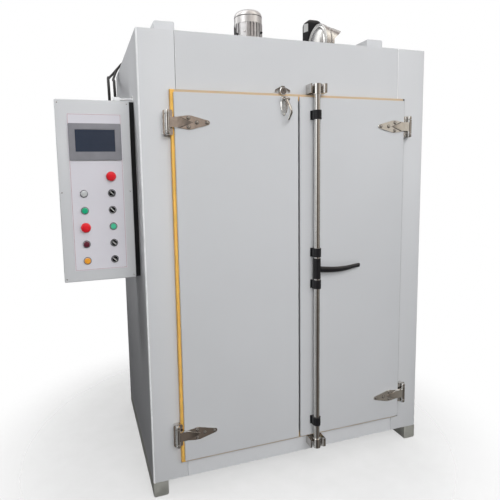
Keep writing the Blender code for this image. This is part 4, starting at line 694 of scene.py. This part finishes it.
def surface(name, colour, roughness, metallic=0.0, patch=(3, 0.97, 1.03), rough_patch=(8, 0.9, 1.1),
            grain=(900, 0.15, 0.0003), waves=None, stretch=(1, 1, 1), **sockets):
    """A procedural material: colour and roughness that vary a little, a fine grain, slow waves, worn
    edges painted lighter partly as wear and partly as a painted highlight, and a little dust. Further
    names are the shader's own sockets."""
    made = bpy.data.materials.new(name)
    made.use_nodes = True
    tree = made.node_tree
    shader = tree.nodes["Principled BSDF"]
    where = tree.nodes.new("ShaderNodeTexCoord").outputs["Object"]
    stretched = tree.nodes.new("ShaderNodeMapping")
    stretched.inputs["Scale"].default_value = stretch
    tree.links.new(where, stretched.inputs["Vector"])
    along = stretched.outputs["Vector"]
    scale, low, high = patch
    patches = paint_noise(tree, scale, PATCH_DETAIL, low, high, where)
    base = mixed(tree, 1.0, (*colour, 1), patches, "MULTIPLY")
    worn_and_highlit = [min(1, channel * EDGE_WEAR_AND_HIGHLIGHT_TINT + EDGE_WEAR_AND_HIGHLIGHT_LIFT) for channel in colour]
    edges = edge_mask(tree, where)
    dust = dust_mask(tree, where)
    # The sharp edges are painted lighter: partly wear, partly a painted highlight
    base = mixed(tree, edges, base, (*worn_and_highlit, 1))
    tree.links.new(mixed(tree, dust, base, (*DUST_COLOUR, 1)), shader.inputs["Base Color"])
    scale, low, high = rough_patch
    rough = paint_noise(tree, scale, ROUGH_DETAIL, roughness * low, roughness * high, along)
    rough = math_node(tree, "MULTIPLY_ADD", edges, WORN_ROUGHNESS, rough)
    rough = math_node(tree, "MULTIPLY_ADD", dust, DUSTY_ROUGHNESS, rough)
    tree.links.new(rough, shader.inputs["Roughness"])
    shader.inputs["Metallic"].default_value = metallic
    for socket, value in sockets.items():
        shader.inputs[socket.replace("_", " ")].default_value = value
    scale, strength, distance = grain
    heights = [(paint_noise(tree, scale, GRAIN_DETAIL, 0, 1, along), strength, distance)]
    if waves:
        scale, strength, distance = waves
        heights.append((paint_noise(tree, scale, WAVE_DETAIL, 0, 1, where), strength, distance))
    bump_of(tree, heights, shader)
    return made


def fade_gasket(material):
    """The level runs of the door seal are paler than its left run, and its right run is painted dark
    as shade.
    """
    tree = material.node_tree
    base = tree.nodes["Principled BSDF"].inputs["Base Color"]
    split = tree.nodes.new("ShaderNodeSeparateXYZ")
    tree.links.new(tree.nodes.new("ShaderNodeTexCoord").outputs["Object"], split.inputs["Vector"])
    middle = (GASKET_BOTTOM + GASKET_TOP) / 2
    reach = math_node(tree, "ABSOLUTE", math_node(tree, "SUBTRACT", split.outputs["Z"], middle))
    level = math_node(tree, "GREATER_THAN", reach, GASKET_TOP - middle - GASKET_WIDTH)
    across = math_node(tree, "SUBTRACT", split.outputs["X"], CORNER.x)
    level = math_node(tree, "MULTIPLY", level, math_node(tree, "GREATER_THAN", across, GASKET_LEFT))
    colour = mixed(tree, level, base.links[0].from_socket, (*GASKET_PALE, 1))
    # The right run is painted dark as shade
    right = math_node(tree, "GREATER_THAN", across, GASKET_RIGHT)
    tree.links.new(mixed(tree, right, colour, (*GASKET_SHADE, 1)), base)


def smooth_copy(node, material, ease):
    """Stands for a CAD node with the same shape, welded, with smooth round faces and eased edges."""
    name = f"{node}_finish"
    bm = bmesh.new()
    bm.from_mesh(frame["nodes"][node].data)
    bmesh.ops.remove_doubles(bm, verts=bm.verts, dist=WELD)
    if ease:
        bmesh.ops.dissolve_limit(bm, angle_limit=radians(FLAT_UNDER), verts=bm.verts, edges=bm.edges)
        hard = [
            edge for edge in bm.edges
            if len(edge.link_faces) == 2 and edge.calc_face_angle(0) > radians(EASED_OVER)
        ]
        bmesh.ops.bevel(bm, geom=hard, offset=ease, segments=2, profile=0.5, affect="EDGES",
                        clamp_overlap=True)
    piece = add_piece(name, finish_mesh(bm, name), BODY_OF[node], material)
    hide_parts(node)


def make_screws(places, name, body, facing=(0, -1, 0), size=1.0):
    """One piece for all the screws of a body, each turned a little further than the last."""
    upright = Vector((0, 0, 1)).rotation_difference(Vector(facing)).to_matrix().to_4x4()
    bm = bmesh.new()
    for number, place in enumerate(places):
        spin = Matrix.Rotation(radians(SCREW_TURN_STEP * number), 4, "Z")
        merge(bm, SCREW, Matrix.Translation(cabinet(*place)) @ upright @ spin @ Matrix.Scale(size, 4))
    finish_piece(bm, name, body, "zinc")


def make_hinge_screws():
    """The screws of the straps, and the ends of the pins above and below their barrels."""
    for side, axis_x, inward in HINGE_SIDES:
        places = [
            (axis_x + inward * out, STRAP_FACE_Y, height + up)
            for height in HINGE_HEIGHTS for out, up in STRAP_SCREWS
        ]
        make_screws(places, f"{side}_hinge_screws", f"{side}_door", size=1.32)
        bm = bmesh.new()
        for height in HINGE_HEIGHTS:
            for way in (1, -1):
                place = cabinet(axis_x, HINGE_Y, height + way * BARREL_HALF)
                revolved(bm, HINGE_PIN_END, place, (0, 0, way), segments=24)
        finish_piece(bm, f"{side}_hinge_pins", "cabinet", "zinc")


def make_hinge_creases():
    """Painted shade in dark strips beside the pressed rib of each strap, which meet in a point."""
    root, tip = Vector(CREASE_ROOT), Vector(CREASE_TIP)
    along = (tip - root).normalized()
    aside = Vector((-along.y, along.x)) * CREASE_WIDTH
    corners = (root, tip, tip + Vector((CREASE_WIDTH, 0)), root + aside)
    face = cabinet(0, STRAP_FACE_Y, 0).y
    for side, axis_x, inward in HINGE_SIDES:
        bm = bmesh.new()
        for height in HINGE_HEIGHTS:
            for way in (1, -1):
                outline = []
                for out, up in corners:
                    place = cabinet(axis_x + inward * out, 0, height + way * up)
                    outline.append((place.x, place.z))
                prism(bm, outline, 1, face - CREASE_HALF_DEPTH, face + CREASE_HALF_DEPTH)
        finish_piece(bm, f"{side}_hinge_crease_shade", f"{side}_door", "crevice_shade")


def make_hinge_knuckles():
    """The knuckles of each base above and below its strap's barrel, and a dark ring of painted shade
    round each screw's seat.
    """
    for side, axis_x, inward in HINGE_SIDES:
        bm = bmesh.new()
        for height in HINGE_HEIGHTS:
            for way in (1, -1):
                revolved(bm, HINGE_KNUCKLE, cabinet(axis_x, HINGE_Y, height), (0, 0, way))
        finish_piece(bm, f"{side}_hinge_knuckles", "cabinet", "chrome")
        bm = bmesh.new()
        for height in HINGE_HEIGHTS:
            for out, up in STRAP_SCREWS:
                place = cabinet(axis_x + inward * out, STRAP_FACE_Y, height + up)
                ring(bm, SCREW_SEAT_SHADE, place, (0, -1, 0), segments=28)
        finish_piece(bm, f"{side}_hinge_seat_shade", f"{side}_door", "crevice_shade")


def make_latch_cover():
    """The raised face of the latch's plate: steeper on its left, tapering to its lower tip."""
    bm = bmesh.new()
    rows = []
    for z, half in LATCH_ROWS:
        rows.append([
            bm.verts.new(cabinet(LATCH_X + half * across, LATCH_FACE_Y - rise, z))
            for across, rise in LATCH_BULGE
        ])
    for first, second in zip(rows, rows[1:]):
        for i in range(len(LATCH_BULGE) - 1):
            bm.faces.new((first[i], first[i + 1], second[i + 1], second[i]))
    finish_piece(bm, "latch_cover", "left_door", "chrome", smooth_under=3)


def make_corner_fold_highlight():
    """A pale strip as a painted highlight on the rounded fold of the left side panel along the front
    corner.
    """
    bm = bmesh.new()
    radius = CORNER_FOLD
    steps = CORNER_FOLD_STEPS
    arc = [radians(180 + 90 * step / steps) for step in range(steps + 1)]
    outline = [(radius, radius)] + [(radius + radius * cos(a), radius + radius * sin(a)) for a in arc]
    prism(bm, [tuple(cabinet(x, y, 0).xy) for x, y in outline], 2, *CORNER_FOLD_ENDS)
    # Painted highlight along the corner fold
    finish_piece(bm, "left_corner_fold_highlight", "cabinet", "pale_trim_and_fold_highlight")


def make_front_seams():
    """The joints between the side panels and the fascia: a dark gap, and a pale strip as a painted
    highlight on the fold.
    """
    low, high = SEAM_ENDS
    for name, finish, lines in FRONT_LINES:
        bm = bmesh.new()
        for start, end in lines:
            block(bm, (start, -SEAM_HALF_DEPTH, low), (end, SEAM_HALF_DEPTH, high), LINE_EASE)
        finish_piece(bm, name, "cabinet", finish)


def control_place(x, row):
    """The middle of a control on the plate, by its column and row."""
    return cabinet(x, PLATE_FACE_Y, FIRST_ROW - ROW_PITCH * row)


def make_lamps():
    """A coloured lens over each lamp's dome, in its dark ring."""
    for name, row in LAMP_ROWS.items():
        bm = bmesh.new()
        revolved(bm, LAMP_LENS, control_place(LEFT_COLUMN_X, row), (0, -1, 0), segments=36)
        finish_piece(bm, f"{name}_lens", "cabinet", name)


def make_ring_trims():
    """A thin dark bezel on the ring of every control."""
    bm = bmesh.new()
    for x, rows in ((LEFT_COLUMN_X, LEFT_ROWS), (RIGHT_COLUMN_X, RIGHT_ROWS)):
        for row in rows:
            ring(bm, RING_TRIM, control_place(x, row), (0, -1, 0), segments=40)
    finish_piece(bm, "control_ring_trims", "cabinet", "ring_trim")


def make_selector_lines():
    """The white pointer line let into each selector's grip."""
    across, along = POINTER_HALF
    outline = [(-across, -along), (across, -along), (across, along), (-across, along)]
    turn = Matrix.Rotation(radians(SELECTOR_ANGLE), 4, "Y")
    for number, row in enumerate(SELECTOR_ROWS, start=1):
        bm = bmesh.new()
        prism(bm, outline, 1, *POINTER_FACES)
        place = Matrix.Translation(control_place(RIGHT_COLUMN_X, row))
        bmesh.ops.transform(bm, matrix=place @ turn, verts=bm.verts)
        selector = f"selector_{number}"
        finish_piece(bm, f"{selector}_line", selector, "white_line")


def make_gland_nuts():
    """A hexagonal nut on each gland, at the box and on the roof."""
    bm = bmesh.new()
    for route in (FAN_CABLE_ROUTE, BLOWER_CABLE_ROUTE):
        for place in (route[0], route[-1]):
            revolved(bm, GLAND_NUT, cabinet(*place) - Vector((0, 0, GLAND_NUT_DROP)), segments=6)
    finish_piece(bm, "gland_nuts", "cabinet", "black_plastic", smooth_under=25)


def smooth_points(route, count):
    """Points of a smooth curve through the route, about evenly spaced."""
    ends = [route[0] * 2 - route[1]] + list(route) + [route[-1] * 2 - route[-2]]
    dense = []
    for i in range(len(route) - 1):
        p0, p1, p2, p3 = ends[i:i + 4]
        for step in range(CABLE_SPLINE_STEPS):
            t = step / CABLE_SPLINE_STEPS
            dense.append(0.5 * (
                2 * p1 + (p2 - p0) * t + (2 * p0 - 5 * p1 + 4 * p2 - p3) * t * t
                + (3 * p1 - p0 - 3 * p2 + p3) * t * t * t
            ))
    dense.append(route[-1])
    lengths = [0.0]
    for a, b in zip(dense, dense[1:]):
        lengths.append(lengths[-1] + (b - a).length)
    points = []
    for i in range(count):
        target = lengths[-1] * i / (count - 1)
        k = next(n for n, length in enumerate(lengths) if length >= target - 1e-9)
        points.append(dense[k])
    return points


def cable_points(route):
    """The cable's line: straight out of both glands, and smooth between."""
    route = [cabinet(*place) for place in route]
    return [route[0]] + smooth_points(route[1:-1], CABLE_SAMPLES) + [route[-1]]


def make_cable(name, route, material):
    """A cable along its route, which stands for the CAD's."""
    points = cable_points(route)
    curve = bpy.data.curves.new(name, "CURVE")
    curve.dimensions = "3D"
    curve.bevel_depth = CABLE_DIAMETER / 2
    curve.bevel_resolution = 5
    curve.use_fill_caps = True
    spline = curve.splines.new("POLY")
    spline.points.add(len(points) - 1)
    for target, point in zip(spline.points, points):
        target.co = (*point, 1)
    spline.use_smooth = True
    curve.materials.append(material)
    piece = bpy.data.objects.new(f"{name}_sheath", curve)
    bpy.context.scene.collection.objects.link(piece)
    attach(piece, "cabinet")
    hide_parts(name)


def round_fan(degrees, radius, z):
    """A place round the fan's axis, by degrees to the right of straight ahead, and its outward way."""
    outward = Vector((sin(radians(degrees)), -cos(radians(degrees)), 0))
    return cabinet(FAN_AXIS[0], FAN_AXIS[1], z) + outward * radius, outward


def make_fan_details():
    """Seams and screws of the cowl, the foot ring, flange bolts, the wiring gland and a drain knob."""
    axis = cabinet(*FAN_AXIS, 0)
    bm = bmesh.new()
    for z in COWL_SEAMS:
        ring(bm, [(radius, z + rise) for radius, rise in COWL_SEAM], axis, segments=72)
    finish_piece(bm, "fan_cowl_seams", "cabinet", "black_rubber")
    bm = bmesh.new()
    for outline in (FOOT_RING, COWL_RING):
        ring(bm, outline, axis, segments=72)
    finish_piece(bm, "fan_motor_rings", "cabinet", "cast_metal")
    bm = bmesh.new()
    for degrees, radius, z in FAN_SCREWS:
        place, outward = round_fan(degrees, radius, z)
        turn = Vector((0, 0, 1)).rotation_difference(outward).to_matrix().to_4x4()
        merge(bm, SCREW, Matrix.Translation(place) @ turn)
    for degrees in FLANGE_BOLT_DEGREES:
        place = round_fan(degrees, FLANGE_BOLT_RADIUS, FLANGE_TOP)[0]
        revolved(bm, BOLT_WASHER, place, segments=24)
        revolved(bm, BOLT_HEAD, place, segments=6)
    finish_piece(bm, "fan_screws", "cabinet", "zinc")
    bm = bmesh.new()
    for degrees, radius, z in FAN_GLANDS:
        place, outward = round_fan(degrees, FAN_GLAND_START, z)
        revolved(bm, [(radius * share, rise) for share, rise in FAN_GLAND], place, outward, segments=8)
    revolved(bm, DRAIN_KNOB, round_fan(*DRAIN_KNOB_PLACE)[0], segments=16)
    finish_piece(bm, "fan_glands", "cabinet", "black_plastic")


def make_blower_details():
    """The bare label of the motor, the drum's pressed rings and dished cover, a black ring of painted
    shade in the cover's groove, and its screws.
    """
    bm = bmesh.new()
    outline = [tuple(cabinet(0, y, z).yz) for y, z in MOTOR_LABEL]
    face = cabinet(MOTOR_FACE_X, 0, 0).x
    front, back = MOTOR_LABEL_FACES
    prism(bm, outline, 0, face + front, face + back)
    finish_piece(bm, "blower_motor_label", "cabinet", "white_line")
    centre = cabinet(DRUM_FACE_X, *DRUM_AXIS)
    bm = bmesh.new()
    revolved(bm, DRUM_COVER, centre, (-1, 0, 0), segments=96)
    finish_piece(bm, "blower_drum_cover", "cabinet", "galvanised_steel",
                 smooth_under=60)
    # Painted shade: a black ring in the cover's groove
    bm = bmesh.new()
    ring(bm, DRUM_GROOVE_SHADE, centre, (-1, 0, 0), segments=96)
    finish_piece(bm, "blower_drum_groove_shade", "cabinet", "black_rubber")
    places = []
    for number in range(DRUM_SCREWS):
        turn = radians(DRUM_FIRST_SCREW + 360 * number / DRUM_SCREWS)
        places.append((DRUM_FACE_X - DRUM_SCREW_OUT, DRUM_AXIS[0] + DRUM_SCREW_RING * cos(turn),
                       DRUM_AXIS[1] + DRUM_SCREW_RING * sin(turn)))
    places += [(MOTOR_FACE_X, y, z) for y, z in MOTOR_SCREWS]
    make_screws(places, "blower_screws", "cabinet", (-1, 0, 0), size=0.62)


def make_box_details():
    """The light bracket and strip on the control box, the plate's thin border and the cover screws."""
    bm = bmesh.new()
    for low, high, ease in BRACKET_BLOCKS:
        block(bm, low, high, ease)
    finish_piece(bm, "control_box_bracket", "cabinet", "pale_trim_and_fold_highlight")
    make_screws(BRACKET_SCREWS, "control_box_bracket_screws", "cabinet", (-1, 0, 0), size=0.8)
    bm = bmesh.new()
    (left, low), (right, high) = PLATE_BORDER
    for start, end in (((left, low), (left + BORDER_WIDTH, high)),
                       ((right - BORDER_WIDTH, low), (right, high)),
                       ((left, low), (right, low + BORDER_WIDTH)),
                       ((left, high - BORDER_WIDTH), (right, high))):
        block(bm, (start[0], PLATE_FACE_Y + BORDER_FACES[0], start[1]),
              (end[0], PLATE_FACE_Y + BORDER_FACES[1], end[1]), LINE_EASE)
    finish_piece(bm, "control_plate_border", "cabinet", "border_line")
    make_screws(BOX_FRONT_SCREWS, "control_box_screws", "cabinet", size=0.55)
    make_screws(BOX_TOP_SCREWS, "control_box_top_screws", "cabinet", (0, 0, 1), size=0.7)


def make_lock_details():
    """Ribs on the feet of the rod guides and the screws of the strike."""
    front, back = GUIDE_RIB_FACES
    bm = bmesh.new()
    for z in GUIDE_HEIGHTS:
        for edge in GUIDE_RIB_EDGES:
            block(bm, (ROD_X - GUIDE_RIB_HALF, front, z + edge),
                  (ROD_X + GUIDE_RIB_HALF, back, z + edge + GUIDE_RIB_HEIGHT), GUIDE_RIB_EASE)
    finish_piece(bm, "rod_guide_ribs", "right_door", "black_plastic")
    make_screws(STRIKE_SCREWS, "latch_strike_screws", "cabinet", size=0.6)


def make_roof_screws():
    """Rows of screws that hold the roof panel's edges."""
    make_screws(ROOF_SIDE_SCREWS + ROOF_END_SCREWS, "roof_screws", "cabinet", (0, 0, 1))


def make_floor():
    """A pale floor round the oven, which fades into the white backdrop further out."""
    bm = bmesh.new()
    bmesh.ops.create_grid(bm, x_segments=1, y_segments=1, size=FLOOR_FADE[1])
    floor = bpy.data.objects.new("floor", finish_mesh(bm, "floor"))
    bpy.context.scene.collection.objects.link(floor)
    finish = surface("pale_floor", **FLOOR_FINISH)
    tree = finish.node_tree
    distance = tree.nodes.new("ShaderNodeVectorMath")
    distance.operation = "LENGTH"
    tree.links.new(tree.nodes.new("ShaderNodeTexCoord").outputs["Object"], distance.inputs[0])
    fade = ranged(tree, distance.outputs["Value"], FLOOR_FADE, (FLOOR_OPACITY, 0), "SMOOTHSTEP")
    tree.links.new(fade, tree.nodes["Principled BSDF"].inputs["Alpha"])
    floor.data.materials.append(finish)
    floor.visible_diffuse = False
    floor.visible_glossy = False


def make_lights():
    """Soft area lights, which the shiny parts don't mirror."""
    for name, (place, target, size, power, colour, spread) in LIGHTS.items():
        data = bpy.data.lights.new(name, "AREA")
        data.shape = "RECTANGLE"
        data.size, data.size_y = size
        data.energy = power
        data.color = colour
        data.spread = radians(spread)
        light = bpy.data.objects.new(name, data)
        bpy.context.scene.collection.objects.link(light)
        light.location = place
        light.visible_glossy = False
        light.rotation_euler = (Vector(target) - Vector(place)).to_track_quat("-Z", "Y").to_euler()


def make_world():
    """White behind the oven, dim grey for the light, and a plain room for the reflections."""
    world = bpy.data.worlds.new("room")
    bpy.context.scene.world = world
    world.use_nodes = True
    tree = world.node_tree
    split = tree.nodes.new("ShaderNodeSeparateXYZ")
    tree.links.new(tree.nodes.new("ShaderNodeTexCoord").outputs["Generated"], split.inputs["Vector"])
    across, ahead, up = split.outputs
    bearing = math_node(tree, "ARCTAN2", across, math_node(tree, "MULTIPLY", ahead, -1))
    turn = math_node(tree, "MULTIPLY_ADD", bearing, 1 / (2 * pi), 0.5)
    ramp = tree.nodes.new("ShaderNodeValToRGB")
    tree.links.new(turn, ramp.inputs["Fac"])
    stops = ramp.color_ramp.elements
    for number, (degrees, colour) in enumerate(ROOM):
        position = degrees / 360 + 0.5
        stop = stops[number] if number < 2 else stops.new(position)
        stop.position = position
        stop.color = (*[channel / ROOM_PEAK for channel in colour], 1)
    rise = ranged(tree, up, ROOM_RISE, ROOM_LIFT)
    brightness = math_node(tree, "MULTIPLY", rise, ROOM_PEAK)
    room = mixed(tree, 1.0, ramp.outputs["Color"], brightness, "MULTIPLY")
    path = tree.nodes.new("ShaderNodeLightPath")
    shown = mixed(tree, path.outputs["Is Glossy Ray"], (*AMBIENT, 1), room)
    shown = mixed(tree, path.outputs["Is Camera Ray"], shown, (BACKDROP, BACKDROP, BACKDROP, 1))
    tree.links.new(shown, tree.nodes["Background"].inputs["Color"])


make_camera()
make_floor()
make_lights()
make_world()
bpy.context.scene.view_settings.view_transform = "Standard"
MATERIALS = {name: surface(name, **finish) for name, finish in FINISHES.items()}
fade_gasket(MATERIALS["gasket_rubber"])
SCREW = make_screw()
SLOTS = {entry["node"]: entry["material_slot"] for entry in RECORD["subparts"]}
CABLES = {"fan_cable": FAN_CABLE_ROUTE, "blower_cable": BLOWER_CABLE_ROUTE}
for cable, route in CABLES.items():
    make_cable(cable, route, MATERIALS["black_rubber"])
for node in sorted(frame["nodes"]):
    if node not in CABLES:
        finish = OWN_FINISH.get(node, SLOTS[node])
        smooth_copy(node, MATERIALS[finish], EASED.get(node, 0))
make_hinge_screws()
make_hinge_creases()
make_hinge_knuckles()
make_latch_cover()
make_corner_fold_highlight()
make_front_seams()
make_fan_details()
make_blower_details()
make_box_details()
make_lock_details()
make_roof_screws()
make_ring_trims()
make_lamps()
make_selector_lines()
make_gland_nuts()
